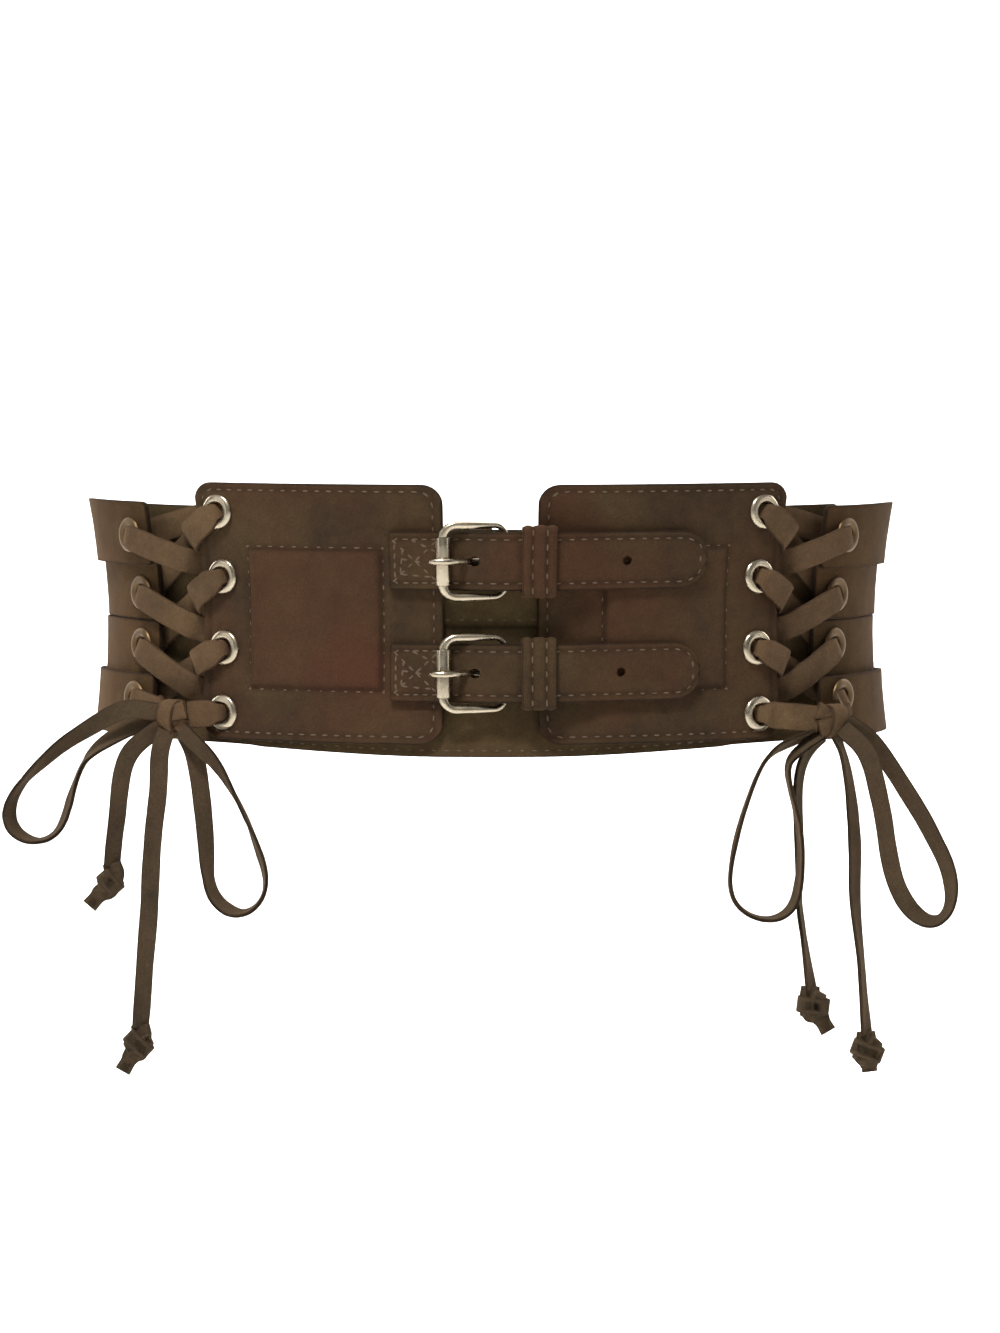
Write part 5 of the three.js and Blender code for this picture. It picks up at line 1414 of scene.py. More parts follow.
def billet_half(row, u):
    """Half of a billet's width, less its corners and its rounded tip."""
    start = -PANEL_INNER_U - BILLET_START_BEFORE_EDGE
    taper_start = row["tip_u"] - BILLET_TIP_LENGTH
    if u <= taper_start:
        return BILLET_WIDTH / 2 - corner_cut(BILLET_START_CORNER, u - start)
    share = min(1.0, (u - taper_start) / BILLET_TIP_LENGTH)
    return BILLET_WIDTH / 2 * math.sqrt(1 - share**2 * (1 - BILLET_TIP_BLUNT**2))


# The depth of the stitch grooves, used for the relief and as painted shade along them
def billet_seam(row, u, z):
    seam_at = billet_half(row, u) - BILLET_STITCH_INSET
    return BILLET_SEAM_DEPTH * swell(abs(z - row["z"]) - seam_at, BILLET_SEAM_HALF_WIDTH)


def billet_relief(row, u, z):
    crown = BILLET_CROWN * (1 - ((z - row["z"]) / (BILLET_WIDTH / 2)) ** 2)
    return crown - billet_seam(row, u, z) + wave(BILLET_WAVE, u, z, 12)


def make_billet(row):
    start = -PANEL_INNER_U - BILLET_START_BEFORE_EDGE
    low, high = prong_slot(row)
    slot_radius = PRONG_RADIUS + 2 * GAP
    holes = [(row["punched_u"], row["z"], PUNCHED_HOLE_RADIUS)]
    spans = max(1, math.ceil((high - low) / SLOT_STEP))
    holes += [(mix(low, high, i / spans), row["z"], slot_radius) for i in range(spans + 1)]
    name = f"{row['name']}_billet"
    piece = leather(
        name, PANEL_SUEDE, start, row["tip_u"],
        lambda u: row["z"] + billet_half(row, u), lambda u: row["z"] - billet_half(row, u),
        lambda u: billet_in(row, u), BILLET_THICKNESS, BILLET_STEP, BILLET_TIP_LENGTH, holes,
        lambda u, z: billet_relief(row, u, z), edge_round=BILLET_EDGE_ROUND,
        # The seam's grooves are also painted darker: painted shade along the stitch lines
        shade=lambda u, z: billet_seam(row, u, z),
    )
    settle(piece, "panel_suede", name)


def make_chape(row):
    """A strip folded round the heel bar, slotted there for the prong's eye."""
    half = CHAPE_THICKNESS / 2
    over_keeper = CHAPE_OVER_KEEPER + half
    route = [
        (KEEPER_END_U + CHAPE_TAB, BILLET_ON_PANEL + half),
        (KEEPER_END_U + 2 * CHAPE_THICKNESS, BILLET_ON_PANEL + half),
        (KEEPER_END_U + half, over_keeper),
        (KEEPER_U, over_keeper),
        (KEEPER_U - KEEPER_WIDTH / 2, over_keeper),
    ]
    for i in range(9):
        turn = math.pi / 2 + i * math.pi / 8
        route.append((
            HEEL_BAR_U + CHAPE_BEND_RADIUS * math.cos(turn), HEEL_LIFT + CHAPE_BEND_RADIUS * math.sin(turn),
        ))
    route.append((PANEL_INNER_U - 2 * GAP, HEEL_LIFT - CHAPE_BEND_RADIUS))
    parts = []
    slot_half = PRONG_EYE_WIDTH / 2 + GAP
    cheek = CHAPE_WIDTH / 2 - slot_half
    fine = [point for point, _ in spline([Vector((u, lift, 0)) for u, lift in route], CHAPE_STEP)]
    slot_start = next(i for i, point in enumerate(fine) if point.x < HEEL_BAR_U + PRONG_EYE_RADIUS + 1)
    slot_end = len(fine) - 2
    stretches = [
        (0, slot_start, 0, CHAPE_WIDTH),
        (slot_start, slot_end, slot_half + cheek / 2, cheek),
        (slot_start, slot_end, -slot_half - cheek / 2, cheek),
        (slot_end, len(fine) - 1, 0, CHAPE_WIDTH),
    ]
    for first, last, offset, width in stretches:
        stations = [
            (Vector((point.x, point.y, row["z"] + offset)), Vector((0, 0, 1)), width, CHAPE_THICKNESS)
            for point in fine[first : last + 1]
        ]
        parts.append(sweep(stations, CHAPE_EDGE_ROUND))
    name = f"{row['name']}_chape"
    settle(join_parts(name, parts, PANEL_SUEDE), "panel_suede", name)


KEEPER_STITCH_U = 2.1
KEEPER_PUFF = 0.75
KEEPER_LOOK_WIDTH = 10.2
KEEPER_WIDTH_VARIES = 0.05
KEEPER_EDGE_FALL = 1.2
KEEPER_GROOVE_HALF_WIDTH = 0.6
KEEPER_SHADE_HALF_WIDTH = 0.55
KEEPER_EDGE_DYE = 0.8
KEEPER_SECTION = [(KEEPER_LOOK_WIDTH * (i / 20 - 0.5), True) for i in range(21)]
KEEPER_SECTION += [(KEEPER_LOOK_WIDTH * (0.5 - i / 4), False) for i in range(5)]


def keeper_puff(x):
    """How far the padding stands up across the keeper."""
    edge = 1 - smoothstep(KEEPER_LOOK_WIDTH / 2 - KEEPER_EDGE_FALL, KEEPER_LOOK_WIDTH / 2, abs(x))
    groove = swell(abs(x) - KEEPER_STITCH_U, KEEPER_GROOVE_HALF_WIDTH)
    return KEEPER_PUFF * edge * (1 - 0.75 * groove)


# Painted shade in the keeper's two stitch grooves
def keeper_shade(x):
    return 0.4 * swell(abs(x) - KEEPER_STITCH_U, KEEPER_SHADE_HALF_WIDTH)


def keeper_ring():
    """The keeper's loop as heights and lifts of its middle, with round corners."""
    half = KEEPER_THICKNESS / 2
    side_z = BILLET_WIDTH / 2 + GAP + half
    back_lift = KEEPER_IN + half
    front_lift = BILLET_OVER_KEEPER + BILLET_THICKNESS + GAP + half
    corner = KEEPER_THICKNESS
    centres = [
        (side_z - corner, front_lift - corner, 0), (corner - side_z, front_lift - corner, 1),
        (corner - side_z, back_lift + corner, 2), (side_z - corner, back_lift + corner, 3),
    ]
    loop = []
    for centre_z, centre_lift, quarter in centres:
        for i in range(5):
            turn = math.pi / 2 * (quarter + i / 4)
            loop.append((centre_z + corner * math.cos(turn), centre_lift + corner * math.sin(turn)))
    return loop


def make_keeper(row):
    """A loop of folded leather with two stitched lines, padded beside and between them."""
    loop = keeper_ring()
    dense = []
    for (z, lift), (next_z, next_lift) in zip(loop, loop[1:] + loop[:1]):
        spans = max(1, round(math.hypot(next_z - z, next_lift - lift) / KEEPER_STEP))
        dense += [(mix(z, next_z, i / spans), mix(lift, next_lift, i / spans)) for i in range(spans)]
    low = min(lift for _, lift in dense)
    high = max(lift for _, lift in dense)
    rings = []
    dye_and_shade_shares = []
    for i, (z, lift) in enumerate(dense):
        before, after = dense[i - 1], dense[(i + 1) % len(dense)]
        way = Vector((after[0] - before[0], after[1] - before[1])).normalized()
        out_z, out_lift = way.y, -way.x
        front = smoothstep(low + 1, high, lift)
        ring = []
        for x, is_outer in KEEPER_SECTION:
            puff = keeper_puff(x) * front if is_outer else 0.0
            away = (KEEPER_THICKNESS / 2 + puff) if is_outer else -KEEPER_THICKNESS / 2
            spread = 1 + KEEPER_WIDTH_VARIES * uneven(z, lift, x, 7)
            ring.append(waist_point(
                KEEPER_U + x * spread, row["z"] + z + out_z * away, lift + out_lift * away,
            ))
            at_edge = abs(x) > KEEPER_WIDTH / 2 - 0.2
            # Dyed cut edges, and painted shade in the stitch grooves on the front
            dye_and_shade_shares.append(KEEPER_EDGE_DYE if at_edge else keeper_shade(x) * front * is_outer)
        rings.append(ring)
    vertices, faces = loft(rings, closed=True)
    name = f"{row['name']}_keeper"
    settle(make_object(name, vertices, faces, PANEL_SUEDE, dye_and_shade_shares), "panel_suede", name)


# Buckle: sides of its rods and rings, and its rounded edges
ROD_SIDES = 14
FRAME_SIDES = 16
FRAME_STEP = 1.2
FRAME_FLATNESS = 0.92
ROLLER_SIDES = 28
ROLLER_LIP = 0.35
ROLLER_BEVEL = 0.1
ROLLER_SHARP_ANGLE = 30
PRONG_STEP = 0.5
PRONG_EYE_SIDES = 24
PRONG_EYE_BEVEL = 0.3
PRONG_TIP_ROUND = 0.4


def on_buckle(share, z, above=0.0):
    """A spot on the line from the heel bar to the front bar, which leans outward."""
    heel = Vector((HEEL_BAR_U, HEEL_LIFT))
    front = Vector((FRONT_BAR_U, FRONT_BAR_LIFT))
    along = front - heel
    up = Vector((along.y, -along.x)).normalized()
    place = heel + along * share + up * above
    return Vector((place.x, place.y, z))


def rod(stations, sides=ROD_SIDES, closed=False):
    """A rod through stations of (middle, aside, radius across, radius along aside)."""
    rings = []
    count = len(stations)
    for i, (middle, aside, radius, height) in enumerate(stations):
        before = stations[i - 1 if i or closed else 0][0]
        after = stations[(i + 1) % count if closed else min(i + 1, count - 1)][0]
        tangent = (after - before).normalized()
        first = (aside - tangent * aside.dot(tangent)).normalized()
        second = tangent.cross(first)
        ring = []
        for j in range(sides):
            turn = 2 * math.pi * j / sides
            ring.append(bend(middle + first * height * math.cos(turn) + second * radius * math.sin(turn)))
        rings.append(ring)
    vertices, faces = loft(rings, closed)
    return vertices, faces, [0.0] * len(vertices)


def make_buckle_frame(row):
    """A rounded frame whose arms taper and turn in under the leather at the heel."""
    reach = math.hypot(FRONT_BAR_U - HEEL_BAR_U, FRONT_BAR_LIFT - HEEL_LIFT)
    half = BILLET_WIDTH / 2 + BUCKLE_SIDE_CLEARANCE + BUCKLE_ROD_RADIUS
    corners = [
        (reach - BUCKLE_FRONT_BEND, half - BUCKLE_FRONT_BEND, BUCKLE_FRONT_BEND, 0),
        (BUCKLE_HEEL_BEND, half - BUCKLE_HEEL_BEND, BUCKLE_HEEL_BEND, 1),
        (BUCKLE_HEEL_BEND, BUCKLE_HEEL_BEND - half, BUCKLE_HEEL_BEND, 2),
        (reach - BUCKLE_FRONT_BEND, BUCKLE_FRONT_BEND - half, BUCKLE_FRONT_BEND, 3),
    ]
    outline = []
    for along, z, radius, quarter in corners:
        for i in range(10):
            turn = math.pi / 2 * (quarter + i / 9)
            outline.append((along + radius * math.cos(turn), z + radius * math.sin(turn)))
    facing = on_buckle(0, 0, 1) - on_buckle(0, 0, 0)
    stations = []
    for (along, z), (next_along, next_z) in zip(outline, outline[1:] + outline[:1]):
        spans = max(1, round(math.hypot(next_along - along, next_z - z) / FRAME_STEP))
        for i in range(spans):
            share = i / spans
            forward = mix(along, next_along, share) / reach
            point = on_buckle(forward, row["z"] + mix(z, next_z, share))
            radius = mix(BUCKLE_ARM_END_RADIUS, BUCKLE_ARM_RADIUS, smoothstep(0, 0.7, forward))
            radius = mix(radius, BUCKLE_ROD_RADIUS, smoothstep(0.9, 1, forward))
            stations.append((point, facing, radius, radius * FRAME_FLATNESS))
    vertices, faces, dye_and_shade_shares = rod(stations, FRAME_SIDES, closed=True)
    name = f"{row['name']}_buckle_frame"
    settle(make_object(name, vertices, faces, NICKEL, dye_and_shade_shares), "nickel", name)


def turned(profile, u, lift, z, sides):
    """A ring turned round an upright axis, from a closed profile of (radius, height)."""
    rings = []
    for i in range(sides):
        turn = 2 * math.pi * i / sides
        rings.append([
            waist_point(u + radius * math.cos(turn), z + height, lift + radius * math.sin(turn))
            for radius, height in profile
        ])
    vertices, faces = loft(rings, closed=True)
    return vertices, faces, [0.0] * len(vertices)


def make_roller(row):
    """A tube with softly turned ends round the front bar."""
    inner = BUCKLE_ROD_RADIUS + GAP
    outer = ROLLER_LOOK_RADIUS
    half = ROLLER_LENGTH / 2
    lip = ROLLER_LIP
    bevel = ROLLER_BEVEL
    profile = [
        (inner, -half), (outer - lip, -half), (outer - bevel, -half + bevel),
        (outer, -half + lip), (outer, half - lip), (outer - bevel, half - bevel),
        (outer - lip, half), (inner, half),
    ]
    vertices, faces, dye_and_shade_shares = turned(profile, FRONT_BAR_U, FRONT_BAR_LIFT, row["z"], ROLLER_SIDES)
    name = f"{row['name']}_buckle_roller"
    settle(make_object(name, vertices, faces, NICKEL, dye_and_shade_shares, ROLLER_SHARP_ANGLE), "nickel", name)


def make_prong(row):
    """A rod with a rounded tip, from its eye round the heel bar up through the billet and over the roller."""
    route = [prong_at(along, rise) for along, rise, _ in PRONG_ROUTE]
    thick = [share for _, _, share in PRONG_ROUTE]
    stations = []
    for point, place in spline([Vector((u, lift, row["z"])) for u, lift in route], PRONG_STEP):
        low = min(int(place), len(thick) - 2)
        radius = PRONG_RADIUS * mix(thick[low], thick[low + 1], place - low)
        stations.append((point, Vector((0, 0, 1)), radius, radius * 0.98))
    tip, aside, _, _ = stations[-1]
    for share in (0.5, 0.8, 0.97):
        point = tip + (tip - stations[-2][0]).normalized() * PRONG_RADIUS * PRONG_TIP_ROUND * share
        radius = PRONG_RADIUS * thick[-1] * math.sqrt(1 - share**2)
        stations.append((point, aside, radius, radius))
    inner = BUCKLE_ROD_RADIUS + GAP
    half = PRONG_EYE_WIDTH / 2
    bevel = PRONG_EYE_BEVEL
    eye = [
        (inner, -half), (PRONG_EYE_RADIUS - bevel, -half), (PRONG_EYE_RADIUS, -half + bevel),
        (PRONG_EYE_RADIUS, half - bevel), (PRONG_EYE_RADIUS - bevel, half), (inner, half),
    ]
    parts = [rod(stations), turned(eye, HEEL_BAR_U, HEEL_LIFT, row["z"], PRONG_EYE_SIDES)]
    name = f"{row['name']}_buckle_prong"
    settle(join_parts(name, parts, NICKEL), "nickel", name)


for buckle_row in ROWS:
    make_billet(buckle_row)
    make_chape(buckle_row)
    make_keeper(buckle_row)
    make_buckle_frame(buckle_row)
    make_roller(buckle_row)
    make_prong(buckle_row)


# Geometry Nodes: stitches along a path, and eyelets on marked spots
def new_tree(name, inputs):
    """A tree that takes a mesh and the named inputs, and its input node."""
    tree = bpy.data.node_groups.new(name, "GeometryNodeTree")
    tree.interface.new_socket("Geometry", in_out="OUTPUT", socket_type="NodeSocketGeometry")
    tree.interface.new_socket("Geometry", in_out="INPUT", socket_type="NodeSocketGeometry")
    for label, kind in inputs:
        tree.interface.new_socket(label, in_out="INPUT", socket_type=f"NodeSocket{kind}")
    return tree, tree.nodes.new("NodeGroupInput")


def facing_out(tree, start):
    """Turns an instance so that its Z looks out of the leather, given a rotation to start from."""
    out = add_node(tree, "GeometryNodeInputNamedAttribute", {"data_type": "FLOAT_VECTOR"}, Name="out")
    return add_node(
        tree, "FunctionNodeAlignRotationToVector", {"axis": "Z", "pivot_axis": "X" if start else "AUTO"},
        Vector=out.outputs[0], **({"Rotation": start} if start else {}),
    )


def finish_tree(tree, instances, material):
    """Makes the instances real and gives them their material."""
    real = add_node(tree, "GeometryNodeRealizeInstances", Geometry=instances)
    painted = add_node(tree, "GeometryNodeSetMaterial", Geometry=real.outputs[0], Material=material)
    add_node(tree, "NodeGroupOutput", Geometry=painted.outputs[0])


def stitch_tree():
    """Long beads of thread, evenly spaced along each path and a little uneven in size."""
    tree, given = new_tree("stitches along a path", [
        ("Pitch", "Float"), ("Length", "Float"), ("Width", "Float"), ("Height", "Float"),
        ("Seed", "Int"), ("Material", "Material"),
    ])
    curve = add_node(tree, "GeometryNodeMeshToCurve", Mesh=given.outputs["Geometry"])
    spaced = add_node(
        tree, "GeometryNodeResampleCurve", {"mode": "LENGTH"},
        Curve=curve.outputs[0], Length=given.outputs["Pitch"],
    )
    size = add_node(
        tree, "ShaderNodeCombineXYZ",
        X=given.outputs["Length"], Y=given.outputs["Width"], Z=given.outputs["Height"],
    )
    bead = add_node(tree, "GeometryNodeMeshUVSphere", Segments=8, Rings=6, Radius=0.5)
    shaped = add_node(tree, "GeometryNodeTransform", Geometry=bead.outputs[0], Scale=size.outputs[0])
    tangent = add_node(tree, "GeometryNodeInputTangent")
    along = add_node(
        tree, "FunctionNodeAlignRotationToVector", {"axis": "X"}, Vector=tangent.outputs[0],
    )
    turn = facing_out(tree, along.outputs[0])
    uneven_size = add_node(
        tree, "FunctionNodeRandomValue", {"data_type": "FLOAT_VECTOR"},
        Min=(0.86, 0.85, 0.85), Max=(1.1, 1.15, 1.15), Seed=given.outputs["Seed"],
    )
    placed = add_node(
        tree, "GeometryNodeInstanceOnPoints", Points=spaced.outputs[0], Instance=shaped.outputs[0],
        Rotation=turn.outputs[0], Scale=uneven_size.outputs[0],
    )
    finish_tree(tree, placed.outputs[0], given.outputs["Material"])
    return tree


def eyelet_tree():
    """One eyelet on each marked spot, facing out."""
    tree, given = new_tree("eyelets on marked spots", [("Eyelet", "Object"), ("Material", "Material")])
    points = add_node(tree, "GeometryNodeMeshToPoints", Mesh=given.outputs["Geometry"])
    shape = add_node(tree, "GeometryNodeObjectInfo", Object=given.outputs["Eyelet"])
    turn = facing_out(tree, None)
    placed = add_node(
        tree, "GeometryNodeInstanceOnPoints", Points=points.outputs[0],
        Instance=shape.outputs["Geometry"], Rotation=turn.outputs[0],
    )
    finish_tree(tree, placed.outputs[0], given.outputs["Material"])
    return tree


STITCHES = stitch_tree()
EYELETS = eyelet_tree()


def grow(name, tree, source, settings, material, sharp=40):
    """Runs a tree on a source mesh and keeps the result as a plain mesh."""
    modifier = source.modifiers.new(name, "NODES")
    modifier.node_group = tree
    for item in tree.interface.items_tree:
        if item.in_out == "INPUT" and item.name in settings:
            modifier[item.identifier] = settings[item.name]
    bpy.context.view_layer.update()
    evaluated = source.evaluated_get(bpy.context.evaluated_depsgraph_get())
    mesh = bpy.data.meshes.new_from_object(evaluated)
    source.modifiers.clear()
    bpy.data.objects.remove(source)
    mesh.name = name
    mesh.materials.clear()
    mesh.materials.append(material)
    shade_smooth(mesh, sharp)
    return new_object(name, mesh)


def marked_mesh(name, paths):
    """Open paths of (place, outward) as edges, with the outward direction kept at each point."""
    vertices = []
    edges = []
    outs = []
    for path in paths:
        start = len(vertices)
        vertices += [tuple(place) for place, _ in path]
        outs += [component for _, out in path for component in out]
        edges += [(start + i, start + i + 1) for i in range(len(path) - 1)]
    mesh = bpy.data.meshes.new(name)
    mesh.from_pydata(vertices, edges, [])
    mesh.attributes.new("out", "FLOAT_VECTOR", "POINT").data.foreach_set("vector", outs)
    return new_object(name, mesh)


# Where the stitch lines run
PANEL_STITCH_CORNER = 4.5
PANEL_STITCH_RUN_IN = 2
HEM_STITCH_END = 88
HEM_STITCH_STEP = 4
BOX_STITCH_INSET = 2
BILLET_STITCH_END_INSET = 2.6


def fine_line(points):
    """A path through (u, z) points, with points added between them."""
    line = []
    for (u, z), (next_u, next_z) in zip(points, points[1:]):
        spans = max(1, round(math.hypot(next_u - u, next_z - z) / STITCH_LINE_STEP))
        line += [(mix(u, next_u, i / spans), mix(z, next_z, i / spans)) for i in range(spans)]
    return [*line, points[-1]]


def arc(u, z, radius, start, end):
    """Points on an arc between two angles in degrees."""
    turns = [math.radians(mix(start, end, i / 8)) for i in range(9)]
    return [(u + radius * math.cos(turn), z + radius * math.sin(turn)) for turn in turns]


def on_leather(points, lift_at):
    """A path on the leather's face for stitches that are sunk in a little."""
    path = []
    for u, z in fine_line(points):
        lift = lift_at(u, z) - STITCH_SUNK
        path.append((waist_point(u, z, lift), outward(u, z, lift)))
    return path


def sew(name, paths, slot, seed, pitch=STITCH_PITCH):
    source = marked_mesh(name, paths)
    settings = {
        "Pitch": pitch * MM, "Length": STITCH_LENGTH * MM, "Width": STITCH_WIDTH * MM,
        "Height": STITCH_HEIGHT * MM, "Seed": seed, "Material": THREAD,
    }
    settle(grow(name, STITCHES, source, settings, THREAD), slot)


def panel_outline(side):
    """The panel's edge stitching: along the top, down the inner side and along the bottom."""
    sign = side["sign"]
    inner = PANEL_INNER_U + EDGE_STITCH_SIDE
    outer = PANEL_OUTER_U - EDGE_STITCH_SIDE
    top = PANEL_TOP_Z - EDGE_STITCH_TOP
    bottom = PANEL_BOTTOM_Z + EDGE_STITCH_BOTTOM
    radius = PANEL_STITCH_CORNER
    around = [
        (outer, top - radius - PANEL_STITCH_RUN_IN), *arc(outer - radius, top - radius, radius, 0, 90),
        *arc(inner + radius, top - radius, radius, 90, 180),
        *arc(inner + radius, bottom + radius, radius, 180, 270),
        *arc(outer - radius, bottom + radius, radius, 270, 360),
        (outer, bottom + radius + PANEL_STITCH_RUN_IN),
    ]
    return [(sign * u, z) for u, z in around]


def square_outline(side):
    """The four lines of stitches round a panel's square."""
    square = SQUARES[side["name"]]
    inner, outer = (side["sign"] * square[edge] for edge in ("inner", "outer"))
    low, high = square["low"], square["high"]
    corners = [(inner, low), (inner, high), (outer, high), (outer, low), (inner, low)]
    return [list(line) for line in zip(corners, corners[1:])]


def sew_panel(side, seed):
    name = side["name"]

    def lift_at(u, z):
        return PANEL_OUT + panel_relief(name, u, z)

    paths = [on_leather(panel_outline(side), lift_at)]
    paths += [on_leather(line, lift_at) for line in square_outline(side)]
    sew(f"{name}_panel_stitches", paths, "panel_suede", seed)


def sew_base(seed):
    def lift_at(u, z):
        return base_in(u) + BASE_THICKNESS + base_relief(u, z)

    stops = range(-HEM_STITCH_END, HEM_STITCH_END + 1, HEM_STITCH_STEP)
    hem = [(u, base_bottom(u) + BASE_HEM_STITCH) for u in stops]
    seam_end = PANEL_INNER_U - 1
    seam_z = BASE_SEAM_Z + BASE_SEAM_STITCH
    paths = [on_leather(hem, lift_at), on_leather([(-seam_end, seam_z), (seam_end, seam_z)], lift_at)]
    sew("front_base_stitches", paths, "base_suede", seed)


def sew_billet(row, seed):
    """Stitches along both edges round to the tip, and a crossed box at the sewn end."""
    start = -PANEL_INNER_U - BILLET_START_BEFORE_EDGE

    def lift_at(u, z):
        return billet_in(row, u) + BILLET_THICKNESS + billet_relief(row, u, z)

    def edge(sign, first, last):
        count = max(2, round((last - first) / 2))
        stops = [mix(first, last, i / count) for i in range(count + 1)]
        return [(u, row["z"] + sign * (billet_half(row, u) - BILLET_STITCH_INSET)) for u in stops]

    box_end = -PANEL_INNER_U - BILLET_STITCH_END_INSET
    box_start = start + BOX_STITCH_INSET
    half = BILLET_WIDTH / 2 - BILLET_STITCH_INSET
    top, bottom = row["z"] + half, row["z"] - half
    tip = row["tip_u"] - BILLET_STITCH_END_INSET
    roller_end = FRONT_BAR_U + ROLLER_RADIUS + 1
    keeper_start, keeper_end = KEEPER_U - KEEPER_WIDTH / 2 - 1, KEEPER_END_U + 1
    lines = [
        edge(1, roller_end, keeper_start), edge(-1, roller_end, keeper_start),
        edge(1, keeper_end, tip) + list(reversed(edge(-1, keeper_end, tip))),
    ]
    sew(f"{row['name']}_billet_stitches", [on_leather(line, lift_at) for line in lines], "panel_suede", seed)
    middle = (box_start + box_end) / 2
    # The box's three sides, its cross, and four short lines in it
    box = [
        [(box_end, top), (box_start, top), (box_start, bottom), (box_end, bottom)],
        [(box_start, top - 1), (box_end, bottom + 1.5)], [(box_start, bottom + 1), (box_end, top - 1.5)],
        [(box_start + 2.4, top - 4), (box_start + 1.8, bottom + 4)],
        [(middle, top - 0.6), (box_end, top - 3.6)],
        [(box_start + 3, row["z"] + 0.5), (box_end - 1, row["z"] - 0.8)],
        [(middle - 3, bottom + 2.6), (middle + 4, bottom + 2)],
    ]
    paths = [on_leather(line, lift_at) for line in box]
    sew(f"{row['name']}_billet_box_stitches", paths, "panel_suede", seed + 50, BOX_STITCH_PITCH)


def sew_keeper(row, seed):
    """Two lines of stitches across the keeper's front."""
    front = max(lift for _, lift in keeper_ring()) + KEEPER_THICKNESS / 2
    half = BILLET_WIDTH / 2 - 0.2
    paths = []
    for offset in (-KEEPER_STITCH_U, KEEPER_STITCH_U):
        u = KEEPER_U + offset
        ends = [(u, row["z"] + half), (u, row["z"] - half)]
        paths.append(on_leather(ends, lambda _, z: front + keeper_puff(KEEPER_STITCH_U) + 0.1))
    sew(f"{row['name']}_keeper_stitches", paths, "panel_suede", seed)


for sewn_seed, sewn_side in enumerate(SIDES.values()):
    sew_panel(sewn_side, 3 + sewn_seed)
sew_base(11)
for sewn_seed, sewn_row in enumerate(ROWS):
    sew_billet(sewn_row, 21 + sewn_seed)
    sew_keeper(sewn_row, 31 + sewn_seed)


# Eyelets: a rolled rim in front, a barrel through the leather and a spread foot behind
EYELET_SIDES = 40
EYELET_RIM_SPANS = 10
EYELET_SHARP_ANGLE = 60


def eyelet_shape(depth, plate):
    """One eyelet round Z, with its rim's seat at height 0 and its foot at the far face of the leather."""
    hole = EYELET_HOLE_RADIUS
    wall = hole + EYELET_WALL
    rim = EYELET_BAND / 2
    profile = [(wall, -depth), (wall, 0.05)]
    for i in range(EYELET_RIM_SPANS + 1):
        turn = math.radians(mix(-20, 200, i / EYELET_RIM_SPANS))
        height = EYELET_FRONT_RISE * (0.12 + 0.88 * max(0, math.sin(turn)))
        profile.append((hole + rim + rim * math.cos(turn), height))
    foot = hole + EYELET_BACK_BAND
    profile += [(hole + 0.02, -0.2), (hole, -depth), (hole + 0.3, -depth - 0.45)]
    profile += [(foot, -depth - EYELET_BACK_RISE), (foot, -depth - 0.15)]
    rings = []
    for i in range(EYELET_SIDES):
        turn = 2 * math.pi * i / EYELET_SIDES
        rings.append([
            Vector((radius * math.cos(turn), radius * math.sin(turn), height)) * MM
            for radius, height in profile
        ])
    vertices, faces = loft(rings, closed=True)
    return make_object("eyelet_shape", vertices, faces, plate)


def set_eyelets(name, spots, seats, nodes, depth, plate):
    """Eyelets at (u, z) spots whose rims sit at the given lifts."""
    marks = []
    for (u, z), seat in zip(spots, seats):
        marks.append([(waist_point(u, z, seat), outward(u, z, seat))])
    source = marked_mesh(name, marks)
    shape = eyelet_shape(depth + 2 * GAP, plate)
    settings = {"Eyelet": shape, "Material": plate}
    made = grow(name, EYELETS, source, settings, plate, EYELET_SHARP_ANGLE)
    bpy.data.objects.remove(shape)
    settle(made, "nickel", *nodes)


for eyelet_side in SIDES.values():
    panel_places, strap_places = rows_of(eyelet_side)
    strap_seats = [
        strap_in(strap, spot[0]) + STRAP_THICKNESS + GAP for strap, spot in zip(BACK_STRAPS, strap_places)
    ]
    for kind, spots, seats, depth, plate in (
        ("panel", panel_places, [PANEL_OUT + GAP] * 4, PANEL_THICKNESS, NICKEL),
        ("strap", strap_places, strap_seats, STRAP_THICKNESS, DARKER_BROWN_PLATE),
    ):
        row_name = f"{eyelet_side['name']}_{kind}_eyelet"
        set_eyelets(f"{row_name}s", spots, seats, [f"{row_name}_{n}" for n in range(1, 5)], depth, plate)


# Stage, in metres: a pale floor that curves up into a backdrop, and soft light from in front, aside and above
FLOOR_Z = -0.42
FLOOR_FRONT_Y = -7
BACKDROP_Y = 2.6
BACKDROP_HEIGHT = 5
BACKDROP_WIDTH = 18
BACKDROP_RADIUS = 1.2
BACKDROP_SPANS = 12
WORLD_STRENGTH = 0.38
SIDE_STRENGTH = WORLD_STRENGTH * 0.2

# Each light's name, place, size, power in watts and what it shines at
SOFT_LIGHTS = [
    ("key softbox", (-0.4, -1.1, 1.7), (0.45, 0.35), 49, (0, 0, 0)),
    ("left softbox", (-1.7, -0.9, 0.5), (0.8, 1.2), 4.5, (0, 0, 0)),
    ("right softbox", (1.9, -0.45, 0.35), (0.6, 0.7), 2.4, (0, 0, 0)),
    ("left backdrop softbox", (-1.7, 0.9, 1.0), (1.0, 1.6), 56, (-1.7 / 3, BACKDROP_Y, 0.1)),
    ("right backdrop softbox", (1.7, 0.9, 1.0), (1.0, 1.6), 56, (1.7 / 3, BACKDROP_Y, 0.1)),
    ("overhead softbox", (0, 1.2, 4.2), (3.5, 2.2), 110, (0, 2.2, 0)),
]


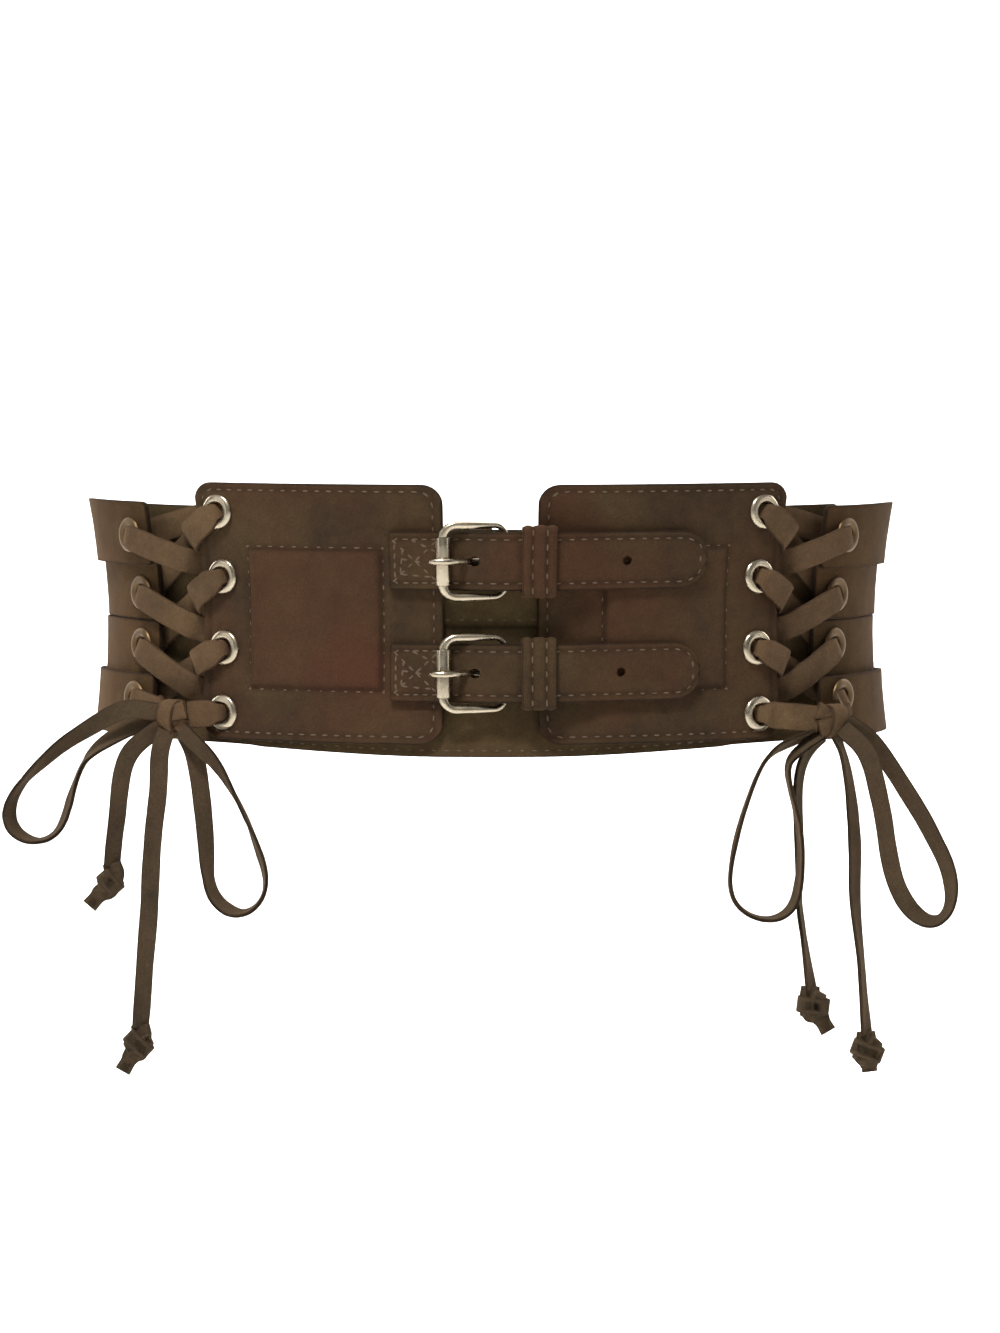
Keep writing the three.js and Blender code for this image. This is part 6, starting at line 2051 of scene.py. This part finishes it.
def make_stage():
    profile = [(FLOOR_FRONT_Y, FLOOR_Z), (BACKDROP_Y - BACKDROP_RADIUS, FLOOR_Z)]
    for i in range(1, BACKDROP_SPANS + 1):
        turn = math.pi / 2 * i / BACKDROP_SPANS
        y = BACKDROP_Y - BACKDROP_RADIUS + BACKDROP_RADIUS * math.sin(turn)
        profile.append((y, FLOOR_Z + BACKDROP_RADIUS * (1 - math.cos(turn))))
    profile.append((BACKDROP_Y, BACKDROP_HEIGHT))
    half = BACKDROP_WIDTH / 2
    vertices = []
    for y, z in profile:
        vertices += [(-half, y, z), (half, y, z)]
    faces = [(2 * i, 2 * i + 1, 2 * i + 3, 2 * i + 2) for i in range(len(profile) - 1)]
    mesh = bpy.data.meshes.new("floor")
    mesh.from_pydata(vertices, [], faces)
    mesh.materials.append(matt_paint("matt white studio board", "#fbfbfa"))
    mesh.polygons.foreach_set("use_smooth", [True] * len(mesh.polygons))
    new_object("floor", mesh)


def soft_light(name, place, size, power, aim):
    data = bpy.data.lights.new(name, "AREA")
    data.shape = "RECTANGLE"
    data.size, data.size_y = size
    data.energy = power
    light = new_object(name, data)
    light.location = place
    light.rotation_euler = (Vector(aim) - Vector(place)).to_track_quat("-Z", "Y").to_euler()


def light_the_room():
    """A white room that is dimmer to the sides at eye level, with the soft lights in it."""
    world = bpy.data.worlds.new("studio")
    world.use_nodes = True
    tree = world.node_tree
    tree.nodes.clear()
    way = add_node(tree, "ShaderNodeTexCoord").outputs["Generated"]
    parts = add_node(tree, "ShaderNodeSeparateXYZ", Vector=way)
    aside = add_node(tree, "ShaderNodeMath", {"operation": "ABSOLUTE"}, i0=parts.outputs["X"])
    to_side = add_node(
        tree, "ShaderNodeMapRange", {"interpolation_type": "SMOOTHSTEP"},
        Value=aside.outputs[0], From_Min=0.25, From_Max=0.75,
    )
    to_floor = add_node(
        tree, "ShaderNodeMapRange", {"interpolation_type": "SMOOTHSTEP"},
        Value=parts.outputs["Z"], From_Min=0.15, From_Max=0.6, To_Min=1.0, To_Max=0.0,
    )
    dim = add_node(
        tree, "ShaderNodeMath", {"operation": "MULTIPLY"}, i0=to_side.outputs[0], i1=to_floor.outputs[0],
    )
    strength = add_node(
        tree, "ShaderNodeMapRange", Value=dim.outputs[0], To_Min=WORLD_STRENGTH, To_Max=SIDE_STRENGTH,
    )
    glow = add_node(tree, "ShaderNodeBackground", Color=colour("#ffffff"), Strength=strength.outputs[0])
    add_node(tree, "ShaderNodeOutputWorld", Surface=glow.outputs[0])
    bpy.context.scene.world = world
    for light in SOFT_LIGHTS:
        soft_light(*light)


make_stage()
light_the_room()
